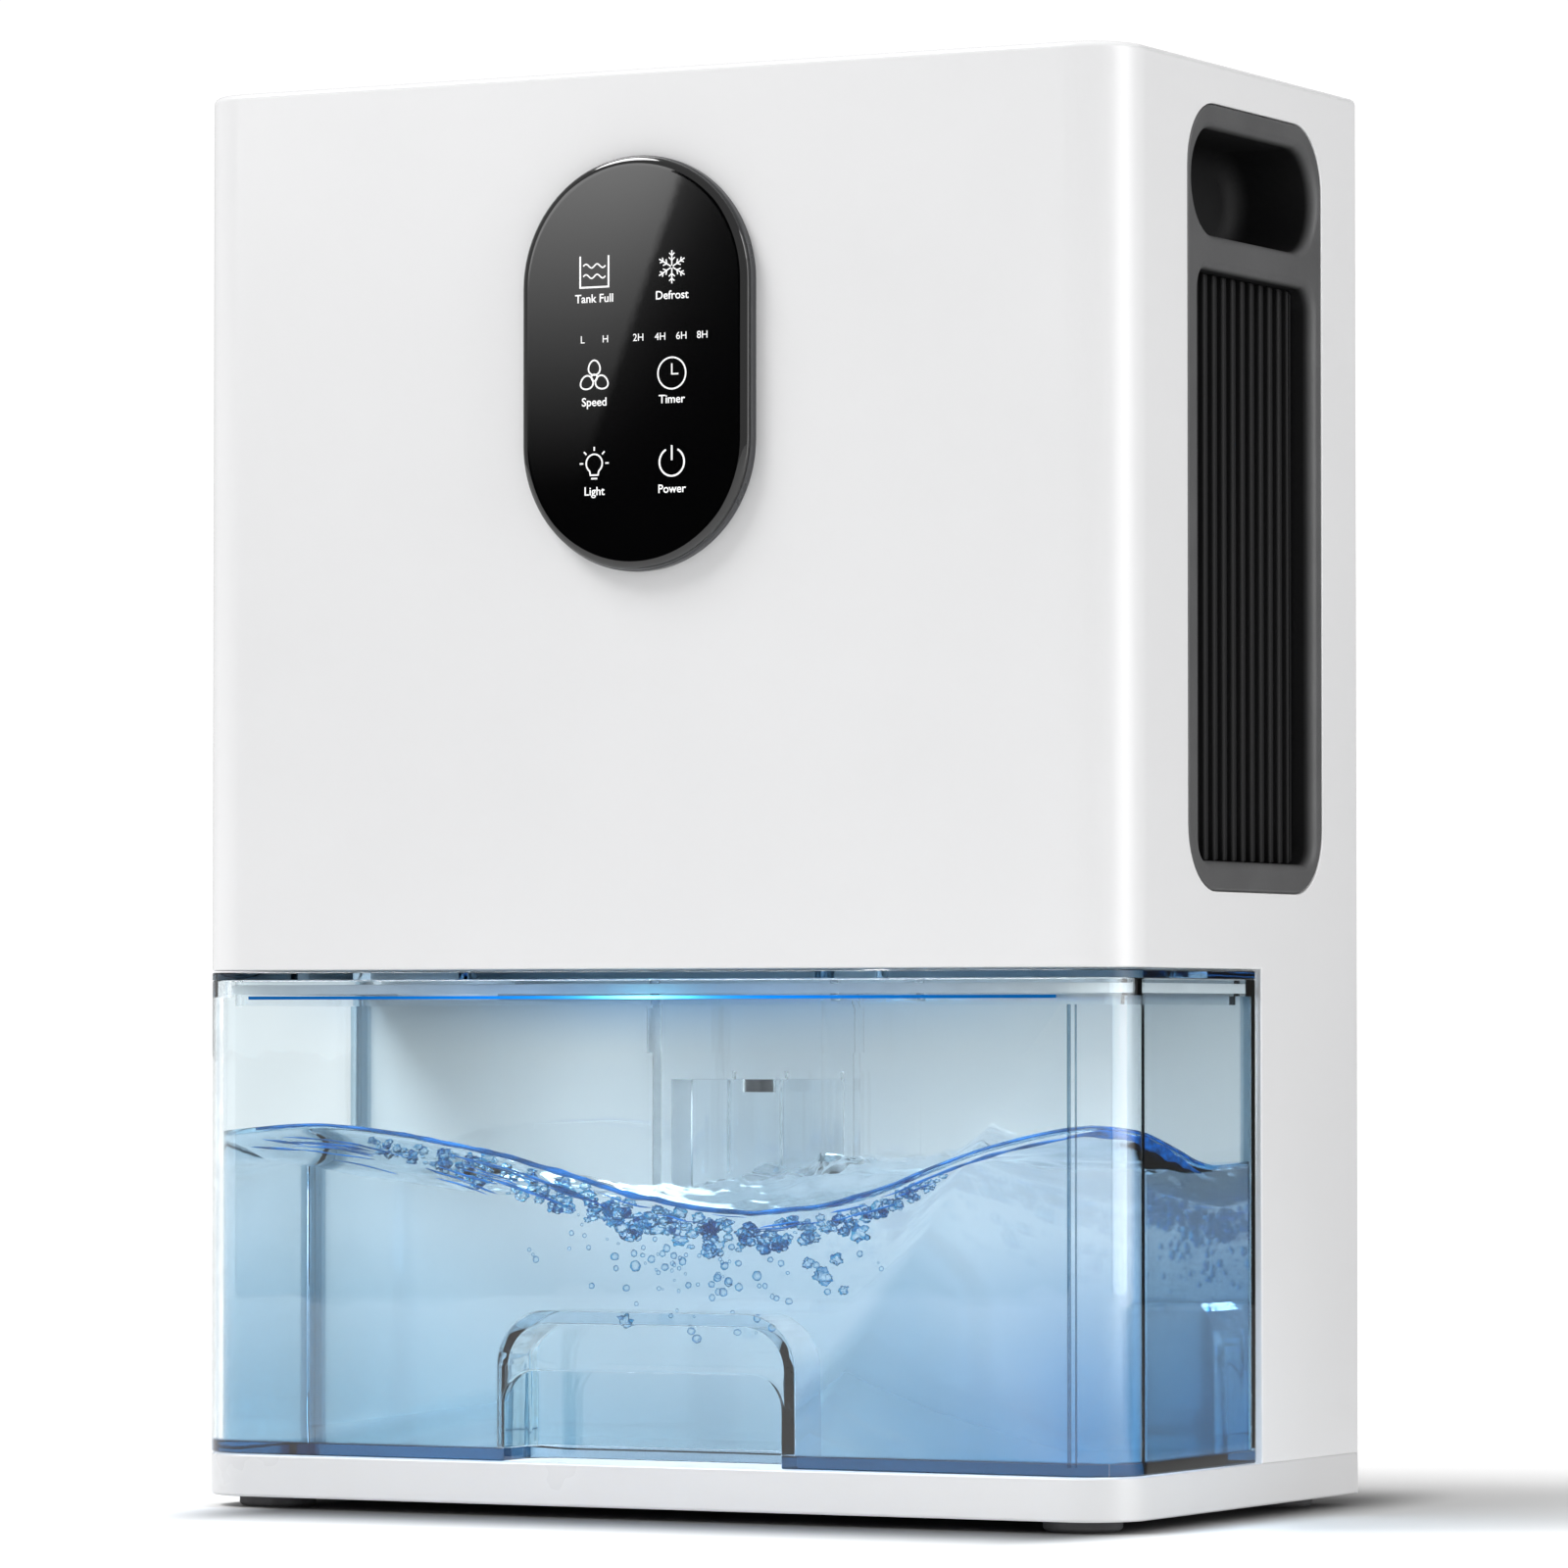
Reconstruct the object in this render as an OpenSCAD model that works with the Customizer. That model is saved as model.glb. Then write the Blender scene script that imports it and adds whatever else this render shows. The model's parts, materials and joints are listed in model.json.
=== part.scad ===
// Compact thermoelectric dehumidifier with a pull-out water tank under its housing.
// +Z is up and the control panel faces -Y. The origin is on the floor, at the middle of the footprint.

/* [Housing] */
// Width across the front
body_w = 242; // [236:1:250]
// Depth from the front face to the rear face
body_d = 133; // [131:1:138]
// Height without the feet
body_h = 330; // [328:1:345]
// Radius of the two front vertical corners
corner_r = 14; // [10:1:18]
// Radius of the two rear vertical corners
rear_r = 2; // [1:0.5:2.4]
// Wall thickness of the moulded shells
wall = 2.5; // [2.2:0.1:2.8]
// Height of the base under the tank
base_h = 9.8; // [9:0.1:12]
// Height that the feet lift the base off the floor
foot_h = 2.5; // [2:0.5:5]

/* [Tank] */
// Height of the bay that the tank slides into
bay_h = 113.4; // [113:0.1:116]
// Depth of the bay, from the front face
bay_d = 76.5; // [76:0.1:78]
// Wall thickness of the tank
tank_wall = 2.6; // [2.2:0.1:3]
// Half the width of the finger pocket's opening
pocket_half = 36; // [30:1:38]
// Height of the finger pocket's opening
pocket_open_h = 21; // [18:1:24]
// Depth of the finger pocket, its rear wall included
pocket_d = 20; // [16:1:22]

/* [Control panel] */
// Width of the oval panel
panel_w = 59.5; // [56:0.5:62]
// Height of the oval panel
panel_h = 95.5; // [92:0.5:98]
// Height of the panel's centre above the base's underside
panel_rise = 261.9; // [255:0.1:265]
// Distance that the panel stands out from the front face
panel_proud = 4; // [3.5:0.5:5]

/* [Side inserts] */
// Width of the black insert in each side
insert_w = 75; // [72:1:76]
// Height of the insert
insert_h = 179.3; // [175:0.1:182]
// Distance from the front face to the insert's middle
insert_back = 74; // [73:0.5:75]
// Height of the insert's middle above the base's underside
insert_rise = 230.65; // [228:0.05:232]
// Number of vertical louvre blades
blade_count = 12; // [8:1:13]
// Depth of the hand pocket
grip_d = 22; // [18:1:24]

/* [Fan and cooler] */
// Side of the square fan frame
fan_size = 92; // [90:1:92]
// Height of the fan's axis above the floor
fan_z = 236; // [234:1:238]
// Number of fan blades
fan_blades = 7; // [5:1:9]
// Side of the square thermoelectric module
module_size = 40; // [30:1:40]

/* [Hidden] */
$fn = 64;

cut = 1;                 // how far a cutter runs past a face
gap = 0.2;               // seam between parts that don't move
y_front = -(body_d - panel_proud) / 2;
y_back = y_front + body_d;
z_base = foot_h;
z_floor = z_base + base_h;
z_ceiling = z_floor + bay_h;
z_top = z_base + body_h;
y_bay = y_front + bay_d;
inner_half = body_w / 2 - wall;

insert_y = y_front + insert_back;
insert_z = z_base + insert_rise;
insert_r = 15;
insert_plate = 3;
grip_w = 68.5;
grip_h = 24.3;
grip_rise = 72.1;        // hand pocket's centre above the insert's centre
window_w = 64;
window_h = 134.7;
window_rise = -15.5;
window_side = 1;         // window's centre behind the insert's centre
window_r = 5;
blade_t = 2.4;
blade_pitch = 5.2;
blade_set = 4.7;         // how far the blades sit behind the side face
louvre_d = 12;
skin = 2;                // wall of the insert's cup and louvre box

z_panel = z_base + panel_rise;
panel_straight = panel_h - panel_w;
bezel_t = 2.2;
lens_seat = 1;
skirt_w = 51.4;
window_in = 46;          // clear width inside the bezel
board_y = y_front + wall + 6;
board_t = 1.6;
key_x = 10.1;            // keys and lamps stand in two columns
key_rows = [-2.8, -23.1];
lamp_row = 21.4;
board_screw_xz = [[-33, -35], [33, -35], [-33, 35], [33, 35]];

fan_t = 25;
fan_y = y_back - wall - 0.1 - fan_t;
fan_bore = 44.5;
fan_hole = 41.25;
blade_r = 43.2;
hub_r = 18;
magnet_t = 1.2;
hub_wall = 1.8;
shaft_r = 1.5;
bearing_r = 3;
bearing_play = 0.05;
fan_screw_r = 1.9;

block_t = 8;
module_t = 3.6;
hot_base_t = 5;
hot_fin_pitch = 5.5;
hot_fin_t = 1.2;
hot_side = 100;
sink_w = 96;
sink_h = 86;
cold_base_t = 4;
cold_fin_l = 28;
cold_fin_pitch = 5;
hot_fin_end = fan_y - 0.3;
hot_fin_l = 24;
y_hot = hot_fin_end - hot_fin_l - hot_base_t;
y_module = y_hot - module_t;
y_block = y_module - block_t;
sink_screw_x = 43;
sink_screw_z = 36;

spout_x = 38;
spout_y = -18;
spout_r = 6;
spout_bore = 4;
tray_z = fan_z - sink_h / 2 - 25;
tray_w = 100;
tray_y0 = y_block - cold_base_t - cold_fin_l - 6;
tray_y1 = y_block + 3;
tray_h = 14;
post_x = 44;

pcb_y = y_bay + wall + 6;
pcb_z = 65;
pcb_w = 110;
pcb_h = 70;
pcb_hole = [50, 30];
jack_x = 85;
jack_z = 32;
light_y = y_front + 7.5;
light_w = 150;
z_light = z_ceiling + wall + 2.4;
float_travel = 14;

tank_x = body_w / 2;
tank_z = z_floor + gap;
rim_z = z_base + 121;    // top of the tank's rim
lid_top = z_ceiling - 0.4;
rim_t = 4.4;
rim_h = 4;
tank_floor = 2.8;
tank_d = bay_d - 0.5;
tank_rear_r = 4;
arch_r = 13;
cage_w = 46;
cage_d = 22;
cage_y = y_front + 57.5;
magnet_y = cage_y + 3.5;
cage_z = 72;
collar_z = 106.5;
float_z = 74.2;
float_h = 26;
plug_x = -80;
plug_y = -12;

rear_screw_xz = [for (x = [-112, 112], z = [32, 134, 326]) [x, z]];
liner_screw_xy = [for (x = [-108, 108], y = [-50, 0]) [x, y]];
base_screw_xy = [for (x = [-60, 60], y = [-40, 45]) [x, y]];
foot_xy = [for (x = [-105, 105], y = [y_front + 14, y_back - 14]) [x, y]];
foot_r = 9;
foot_seat = 1;

// Routes of the internal leads, as points that their centrelines pass through.
peltier_route = [[-5, 9.8, 215.9], [-5, 9.8, 184], [-8, 13, 168], [-12, 19, 150], [-17, 25, 130],
                 [-20, 26, 112], [-20, 26, 100.1]];
fan_route = [[30, 52, 189.9], [30, 52, 180], [28, 46, 156], [20, 36, 134], [12, 28, 118], [10, 26, 108],
             [10, 26, 100.1]];
panel_route = [[-20, -52.4, 220.9], [-20, -52.4, 200], [-30, -50, 172], [-50, -44, 145], [-62, -30, 134],
               [-62, -5, 133], [-60, 12, 134], [-54, 21, 128], [-43, 26, 116], [-41, 26, 108],
               [-41, 26, 100.1]];
dc_route = [[85, 53.9, 32], [85, 48, 32], [77, 38, 36], [67, 31, 40], [58, 26, 42], [50.1, 26, 42]];
light_route = [[70, -48.9, 130.6], [70, -42, 130.6], [62, -25, 131], [60, 0, 131], [58, 15, 132],
               [51, 23, 124], [43, 26, 114], [42, 26, 107], [42, 26, 100.1]];
frost_route = [[38.1, -2, 190.8], [46, -2, 190.8], [56, -1, 184], [58, 6, 162], [48, 18, 138],
               [31, 26, 118], [28, 26, 108], [28, 26, 100.1]];
level_route = [[4, 17.4, 105.9], [4, 17.4, 104.2], [4, 20, 102.5], [4, 25, 102.5],
               [4, 26, 101.4], [4, 26, 100.1]];

// ---------- plane shapes ----------

module round_rect(w, h, r) {
  square([w, h - 2 * r], center = true);
  square([w - 2 * r, h], center = true);
  for (x = [-1, 1], y = [-1, 1])
    translate([x * (w / 2 - r), y * (h / 2 - r)]) circle(r);
}

module stadium(w, h) {
  square([w, h - w], center = true);
  for (y = [-1, 1])
    translate([0, y * (h - w) / 2]) circle(w / 2);
}

// Footprint with its front edge on y = 0 and its own radius at the front and rear corners.
module footprint(w, d, front, rear) {
  translate([-w / 2, front]) square([w, d - front - rear]);
  translate([-w / 2 + front, 0]) square([w - 2 * front, front + cut]);
  translate([-w / 2 + rear, d - rear - cut]) square([w - 2 * rear, rear + cut]);
  for (s = [-1, 1]) {
    translate([s * (w / 2 - front), front]) circle(front);
    translate([s * (w / 2 - rear), d - rear]) circle(rear);
  }
}

// Flat-bottomed arch, open end down, with its foot on y = 0.
module arch(half, h, r) {
  translate([-half, 0]) square([2 * half, h - r]);
  translate([-half + r, 0]) square([2 * (half - r), h]);
  for (s = [-1, 1])
    translate([s * (half - r), h - r]) circle(r);
}

// ---------- placing ----------

// Puts a plane shape's x along X and its y along Z, extruded towards -Y from the given y.
module facing_front(y, z = 0) {
  translate([0, y, z]) rotate([90, 0, 0]) children();
}

// Puts a plane shape's x along Y and its y along Z, with +X as its outward side.
module facing_right(x, y, z) {
  translate([x, y, z]) rotate([90, 0, 90]) children();
}

// Points local +Z to the rear, on the fan's axis.
module on_fan_axis(y) {
  translate([0, y, fan_z]) rotate([-90, 0, 0]) children();
}

module box_between(low, high) {
  translate(low) cube(high - low);
}

// Screw with its head's underside on z = 0 and its shank pointing to +z.
module screw(head_r, head_h, shank_r, shank_l) {
  difference() {
    translate([0, 0, -head_h]) cylinder(h = head_h, r = head_r, $fn = 32);
    for (a = [0, 90])
      rotate([0, 0, a]) translate([-head_r * 0.55, -0.35, -head_h - 0.1]) cube([head_r * 1.1, 0.7, 0.8]);
  }
  cylinder(h = shank_l, r = shank_r, $fn = 24);
}

// Round lead swept along a route, with mitred joints.
function unit(v) = v / norm(v);
function tangent(p, i) =
  i == 0 ? unit(p[1] - p[0])
  : i == len(p) - 1 ? unit(p[i] - p[i - 1])
  : unit(unit(p[i + 1] - p[i]) + unit(p[i] - p[i - 1]));
function side_of(t, prev) = unit(prev - (prev * t) * t);
function sides(p, i = 0, prev = [1, 0.3, 0.1]) =
  i == len(p) ? [] : let (s = side_of(tangent(p, i), prev)) concat([s], sides(p, i + 1, s));
module lead(route, r, shift = [0, 0, 0], n = 8) {
  s = sides(route);
  points = [for (i = [0 : len(route) - 1]) let (t = tangent(route, i), u = cross(t, s[i]))
    for (k = [0 : n - 1]) route[i] + shift + r * (cos(360 * k / n) * s[i] + sin(360 * k / n) * u)];
  rings = len(route);
  quads = [for (i = [0 : rings - 2], k = [0 : n - 1])
    let (a = i * n + k, b = i * n + (k + 1) % n) [a, a + n, b + n, b]];
  polyhedron(points, concat(quads, [[for (k = [0 : n - 1]) k]],
                            [[for (k = [n - 1 : -1 : 0]) (rings - 1) * n + k]]));
}

// ---------- housing ----------

// Rib from a side wall's inner face out to x.
module side_rib(x, y0, y1, z0, z1) {
  box_between([min(x, sign(x) * (inner_half + 0.5)), y0, z0],
              [max(x, sign(x) * (inner_half + 0.5)), y1, z1]);
}

module shell_cavities() {
  // bay for the tank
  box_between([-body_w, y_front - cut, z_floor - cut], [body_w, y_bay, z_ceiling]);
  // upper room, open at the rear and over the bay
  translate([0, y_front + wall, z_ceiling - cut]) linear_extrude(z_top - wall - z_ceiling + cut)
    footprint(body_w - 2 * wall, body_d, corner_r - wall, 1);
  // column behind the bay
  box_between([-inner_half, y_bay - cut, z_floor - cut], [inner_half, y_back + cut, z_ceiling + cut]);
  // opening behind the control panel
  facing_front(y_front + wall + cut, z_panel) linear_extrude(wall + 2 * cut)
    stadium(skirt_w + 2 * gap, skirt_w + 2 * gap + panel_straight);
  for (s = [-1, 1])
    facing_right(s * (body_w / 2 - wall / 2) - wall / 2 - cut, insert_y, insert_z)
      linear_extrude(wall + 2 * cut) round_rect(insert_w + 2 * gap, insert_h + 2 * gap, insert_r + gap);
}

module shell_bosses() {
  for (p = rear_screw_xz) {
    translate([p[0], y_back - wall, p[1]]) rotate([90, 0, 0]) cylinder(h = 14, r = 4);
    side_rib(p[0], y_back - wall - 14, y_back - wall, p[1] - 1.5, p[1] + 1.5);
  }
  for (p = liner_screw_xy) {
    translate([p[0], p[1], z_ceiling + wall]) cylinder(h = 12, r = 4);
    side_rib(p[0], p[1] - 1.5, p[1] + 1.5, z_ceiling + wall, z_ceiling + wall + 12);
  }
  for (p = board_screw_xz)
    facing_front(board_y, z_panel + p[1]) translate([p[0], 0, 0])
      cylinder(h = board_y - y_front - wall + 0.5, r = 3);
}

module shell_pilots() {
  for (p = rear_screw_xz)
    translate([p[0], y_back - wall + cut, p[1]]) rotate([90, 0, 0]) cylinder(h = 13 + cut, r = 1.3);
  for (p = liner_screw_xy)
    translate([p[0], p[1], z_ceiling + wall - cut]) cylinder(h = 10 + cut, r = 1.3);
  for (p = board_screw_xz)
    facing_front(board_y + cut, z_panel + p[1]) translate([p[0], 0, 0])
      cylinder(h = 5.5 + cut, r = 1.05);
}

module main_shell() {
  color("white") difference() {
    union() {
      difference() {
        translate([0, y_front, z_floor]) linear_extrude(z_top - z_floor)
          footprint(body_w, body_d, corner_r, rear_r);
        shell_cavities();
      }
      shell_bosses();
    }
    shell_pilots();
  }
}

// Base that the shell's rear column and the tank stand on, open underneath.
module base_tray() {
  color("white") difference() {
    union() {
      difference() {
        translate([0, y_front, z_base]) linear_extrude(base_h)
          footprint(body_w, body_d, corner_r, rear_r);
        translate([0, y_front + wall, z_base - cut]) linear_extrude(base_h - wall + cut)
          footprint(body_w - 2 * wall, body_d - 2 * wall, corner_r - wall, 1);
      }
      for (p = base_screw_xy)
        translate([p[0], p[1], z_base + 2]) cylinder(h = base_h - wall - 1.5, r = 4);
    }
    for (p = base_screw_xy)
      translate([p[0], p[1], z_base]) cylinder(h = base_h - wall - 0.5, r = 1.3);
  }
}

module grille_rings() {
  for (r = [9 : 7 : 44])
    difference() {
      cylinder(h = wall, r = r + 0.9);
      translate([0, 0, -cut]) cylinder(h = wall + 2 * cut, r = r - 0.9);
    }
  cylinder(h = wall, r = 5);
  for (a = [0 : 45 : 315])
    rotate([0, 0, a]) translate([3, -1.1, 0]) cube([43, 2.2, wall]);
}

module rear_cover() {
  low = [-inner_half + gap, y_back - wall, z_floor + gap];
  high = [inner_half - gap, y_back, z_top - wall - gap];
  color("white") {
    difference() {
      box_between(low, high);
      on_fan_axis(y_back - wall - cut) cylinder(h = wall + 2 * cut, r = fan_bore);
      for (p = rear_screw_xz) {
        translate([p[0], y_back + cut, p[1]]) rotate([90, 0, 0]) cylinder(h = wall + 2 * cut, r = 1.6);
        translate([p[0], y_back + cut, p[1]]) rotate([90, 0, 0]) cylinder(h = 1.5 + cut, r = 3.2);
      }
      for (x = [-1, 1], z = [-1, 1]) {
        translate([x * fan_hole, y_back + cut, fan_z + z * fan_hole]) rotate([90, 0, 0])
          cylinder(h = wall + 2 * cut, r = 2.1);
        translate([x * fan_hole, y_back + cut, fan_z + z * fan_hole]) rotate([90, 0, 0])
          cylinder(h = 1.5 + cut, r = 4);
      }
      translate([jack_x, y_back + cut, jack_z]) rotate([90, 0, 0])
        cylinder(h = wall + 2 * cut, r = 4.6);
      for (i = [0 : 11])
        box_between([-66 + i * 7, y_back - wall - cut, 56], [-63 + i * 7, y_back + cut, 96]);
    }
    on_fan_axis(y_back - wall) grille_rings();
  }
}

module base_plate() {
  plate_w = body_w - 2 * wall - 2 * gap;
  color("gainsboro") difference() {
    translate([0, y_front + wall + gap, z_base])
      linear_extrude(2) footprint(plate_w, body_d - 2 * wall - 2 * gap, corner_r - wall - gap, 1);
    for (p = foot_xy)
      translate([p[0], p[1], z_base - cut]) cylinder(h = foot_seat + cut, r = foot_r + 0.1);
    for (p = base_screw_xy) {
      translate([p[0], p[1], z_base - cut]) cylinder(h = 2 + 2 * cut, r = 1.6);
      translate([p[0], p[1], z_base - cut]) cylinder(h = 1.2 + cut, r = 3);
    }
    for (i = [-5 : 5])
      box_between([i * 7 - 1.5, 5, z_base - cut], [i * 7 + 1.5, 35, z_base + 2 + cut]);
  }
}

module rubber_feet() {
  color("dimgray")
    for (p = foot_xy)
      translate([p[0], p[1], 0]) {
        cylinder(h = 0.6, r1 = foot_r - 0.6, r2 = foot_r);
        translate([0, 0, 0.6]) cylinder(h = foot_h + foot_seat - 0.6, r = foot_r);
      }
}

// Ceiling of the bay, which also carries the drip tray, the spout and the night light.
module bay_ceiling() {
  color("whitesmoke") difference() {
    union() {
      translate([0, y_front + wall + gap, z_ceiling])
        linear_extrude(wall)
          footprint(body_w - 2 * wall - 2 * gap, bay_d - wall - gap, corner_r - wall - gap, 0.5);
      translate([spout_x, spout_y, z_ceiling]) cylinder(h = 12, r = spout_r);
      for (x = [-post_x, post_x], y = [tray_y0 + 8, tray_y1 - 8])
        translate([x, y, z_ceiling + 1]) cylinder(h = tray_z - z_ceiling - 1, r = 3.5);
      for (s = [-1, 1])
        box_between([s * 77 - 1.5, light_y - 3, z_ceiling + 1], [s * 77 + 1.5, light_y + 3, z_light]);
    }
    translate([spout_x, spout_y, z_ceiling - cut]) cylinder(h = 12 + 2 * cut, r = spout_bore);
    box_between([-light_w / 2 - gap, light_y - 2, z_ceiling - cut],
                [light_w / 2 + gap, light_y + 2, z_ceiling + wall + cut]);
    for (p = liner_screw_xy) {
      translate([p[0], p[1], z_ceiling - cut]) cylinder(h = wall + 2 * cut, r = 1.6);
      translate([p[0], p[1], z_ceiling - cut]) cylinder(h = 1.4 + cut, r = 3);
    }
  }
}

// Wall between the bay and the electronics, with four standoffs for the power board.
module bay_rear_wall() {
  color("whitesmoke") difference() {
    union() {
      box_between([-inner_half + gap, y_bay, z_floor + gap],
                  [inner_half - gap, y_bay + wall, z_ceiling + wall]);
      for (x = [-pcb_hole[0], pcb_hole[0]], z = [-pcb_hole[1], pcb_hole[1]])
        translate([x, y_bay + 1, pcb_z + z]) rotate([-90, 0, 0]) cylinder(h = pcb_y - y_bay - 1, r = 3);
    }
    for (x = [-pcb_hole[0], pcb_hole[0]], z = [-pcb_hole[1], pcb_hole[1]])
      translate([x, y_bay + wall + 1, pcb_z + z]) rotate([-90, 0, 0]) cylinder(h = 8, r = 1.3);
  }
}

// ---------- side inserts ----------

module side_insert_right() {
  color("dimgray") facing_right(body_w / 2, insert_y, insert_z) difference() {
    union() {
      translate([0, 0, -insert_plate]) linear_extrude(insert_plate)
        round_rect(insert_w, insert_h, insert_r);
      translate([0, 0, -wall - 1.6]) linear_extrude(1.5)
        round_rect(insert_w + 4, insert_h + 4, insert_r + 2);
      translate([0, grip_rise, -grip_d - skin]) linear_extrude(grip_d) rotate(90)
        stadium(grip_h + 2 * skin, grip_w + 2 * skin);
      translate([window_side, window_rise, -louvre_d]) linear_extrude(louvre_d - 1)
        round_rect(window_w + 2 * skin, window_h + 2 * skin, window_r + skin);
    }
    translate([0, grip_rise, -grip_d]) linear_extrude(grip_d + cut) rotate(90) stadium(grip_h, grip_w);
    translate([window_side, window_rise, -louvre_d - cut]) linear_extrude(louvre_d + 2 * cut)
      round_rect(window_w, window_h, window_r);
  }
}

module side_insert_left() {
  mirror([1, 0, 0]) side_insert_right();
}

// Grille of upright blades that clips into the insert's window from behind.
module louvre_right() {
  grille_w = window_w - 2 * gap;
  grille_h = window_h - 2 * gap;
  first = -blade_pitch * (blade_count - 1) / 2;
  color("dimgray") facing_right(body_w / 2 - louvre_d, insert_y + window_side, insert_z + window_rise)
    intersection() {
      linear_extrude(louvre_d) round_rect(grille_w, grille_h, window_r - gap);
      union() {
        for (i = [0 : blade_count - 1])
          translate([first + i * blade_pitch - blade_t / 2, -grille_h / 2, 0])
            cube([blade_t, grille_h, louvre_d - blade_set]);
        for (y = [-2, -1, 1, 2])
          translate([-grille_w / 2, y * grille_h / 4 - 1.5 * sign(y) * (abs(y) - 1) - 1.5, 0])
            cube([grille_w, 3, 2]);
      }
    }
}

module louvre_left() {
  mirror([1, 0, 0]) louvre_right();
}

// ---------- control panel ----------

// Stadium frustum that narrows from w to w - 2 * inset over height t, along +Z.
module stadium_frustum(w, straight, inset, t) {
  for (s = [-1, 1])
    translate([0, s * straight / 2, 0]) cylinder(h = t, r1 = w / 2, r2 = w / 2 - inset);
  translate([0, straight / 2, 0]) rotate([90, 0, 0]) linear_extrude(straight)
    polygon([[-w / 2, 0], [w / 2, 0], [w / 2 - inset, t], [-w / 2 + inset, t]]);
}

module panel_bezel() {
  color("black") facing_front(y_front, z_panel) difference() {
    union() {
      linear_extrude(bezel_t) stadium(panel_w, panel_h);
      translate([0, 0, -wall - 1.5]) linear_extrude(wall + 1.5 + cut)
        stadium(skirt_w, skirt_w + panel_straight);
    }
    translate([0, 0, -2 * wall]) linear_extrude(3 * wall)
      stadium(window_in, window_in + panel_straight);
    translate([0, 0, bezel_t - lens_seat]) linear_extrude(lens_seat + cut)
      stadium(panel_w - 2.8, panel_h - 2.8);
  }
}

module panel_lens() {
  lens_w = panel_w - 0.6;
  bevel = panel_proud - bezel_t - 0.6;
  color("black") facing_front(y_front, z_panel) {
    translate([0, 0, bezel_t - lens_seat]) linear_extrude(lens_seat) stadium(panel_w - 3, panel_h - 3);
    translate([0, 0, bezel_t]) linear_extrude(0.6) stadium(lens_w, lens_w + panel_straight);
    translate([0, 0, bezel_t + 0.6]) stadium_frustum(lens_w, panel_straight, 2.4, bevel);
  }
}

module control_board() {
  color("darkgreen") {
    difference() {
      facing_front(board_y + board_t, z_panel) linear_extrude(board_t) square([74, 82], center = true);
      for (p = board_screw_xz)
        facing_front(board_y + board_t + cut, z_panel + p[1]) translate([p[0], 0, 0])
          cylinder(h = board_t + 2 * cut, r = 1.3);
    }
    box_between([-25, board_y + board_t - 0.1, 221], [-15, board_y + board_t + 4, 227]);
    box_between([4, board_y + board_t - 0.1, 250], [14, board_y + board_t + 1.2, 260]);
  }
}

module touch_springs() {
  length = board_y - (y_front - bezel_t + lens_seat);
  color("gold")
    for (x = [-key_x, key_x], z = key_rows)
      facing_front(board_y, z_panel + z) translate([x, 0, 0]) difference() {
        cylinder(h = length, r = 4, $fn = 32);
        translate([0, 0, -cut]) cylinder(h = length + 2 * cut, r = 3.3, $fn = 32);
      }
}

module indicator_leds() {
  color("ivory") {
    for (x = [-key_x, key_x])
      facing_front(board_y, z_panel + lamp_row) translate([x - 1.5, -1.5, 0]) cube([3, 3, 1.2]);
    for (x = [-13.2, -7.2, 1.4, 7.1, 12.6, 18])
      facing_front(board_y, z_panel + 5.6) translate([x - 0.8, -1, 0]) cube([1.6, 2, 1]);
  }
}

// ---------- fan ----------

module fan_frame() {
  color("black") on_fan_axis(fan_y) {
    difference() {
      translate([-fan_size / 2, -fan_size / 2, 0]) cube([fan_size, fan_size, fan_t]);
      translate([0, 0, -cut]) cylinder(h = fan_t + 2 * cut, r = fan_bore);
      for (x = [-1, 1], y = [-1, 1])
        translate([x * fan_hole, y * fan_hole, -cut]) cylinder(h = fan_t + 2 * cut, r = 2.15, $fn = 32);
    }
    difference() {
      union() {
        translate([0, 0, 21.6]) cylinder(h = 3, r = hub_r + 0.5);
        translate([0, 0, 7]) cylinder(h = 15, r = bearing_r + 1);
        for (a = [45 : 90 : 315])
          rotate([0, 0, a]) translate([hub_r - 1, -2.5, 21.6]) cube([fan_bore - hub_r + 2, 5, 3]);
      }
      translate([0, 0, 6]) cylinder(h = 14, r = bearing_r);
    }
  }
}

module fan_rotor() {
  hub_len = 18.5;
  color("dimgray") on_fan_axis(fan_y) {
    difference() {
      translate([0, 0, 1.5]) cylinder(h = hub_len, r = hub_r);
      translate([0, 0, 3.5]) cylinder(h = hub_len, r = hub_r - hub_wall);
    }
    difference() {
      translate([0, 0, 3]) cylinder(h = 3, r = 3.5);
      translate([0, 0, 3.5]) cylinder(h = 3, r = shaft_r);
    }
    for (i = [0 : fan_blades - 1])
      rotate([0, 0, i * 360 / fan_blades]) intersection() {
        rotate([38, 0, 0]) translate([hub_r - 0.6, -0.9, -30]) cube([blade_r + 4, 1.8, 60]);
        translate([0, 0, 3]) difference() {
          cylinder(h = 16, r = blade_r);
          translate([0, 0, -cut]) cylinder(h = 18, r = hub_r - 0.8);
        }
        translate([0, -blade_r, 0]) cube([blade_r + 1, 2 * blade_r, fan_t]);
      }
  }
}

module fan_shaft() {
  color("silver") on_fan_axis(fan_y) translate([0, 0, 3.5]) cylinder(h = 16, r = shaft_r);
}

module fan_magnet_ring() {
  color("gray") on_fan_axis(fan_y) translate([0, 0, 6]) difference() {
    cylinder(h = 12.5, r = hub_r - hub_wall);
    translate([0, 0, -cut]) cylinder(h = 15, r = hub_r - hub_wall - magnet_t);
  }
}

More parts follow.
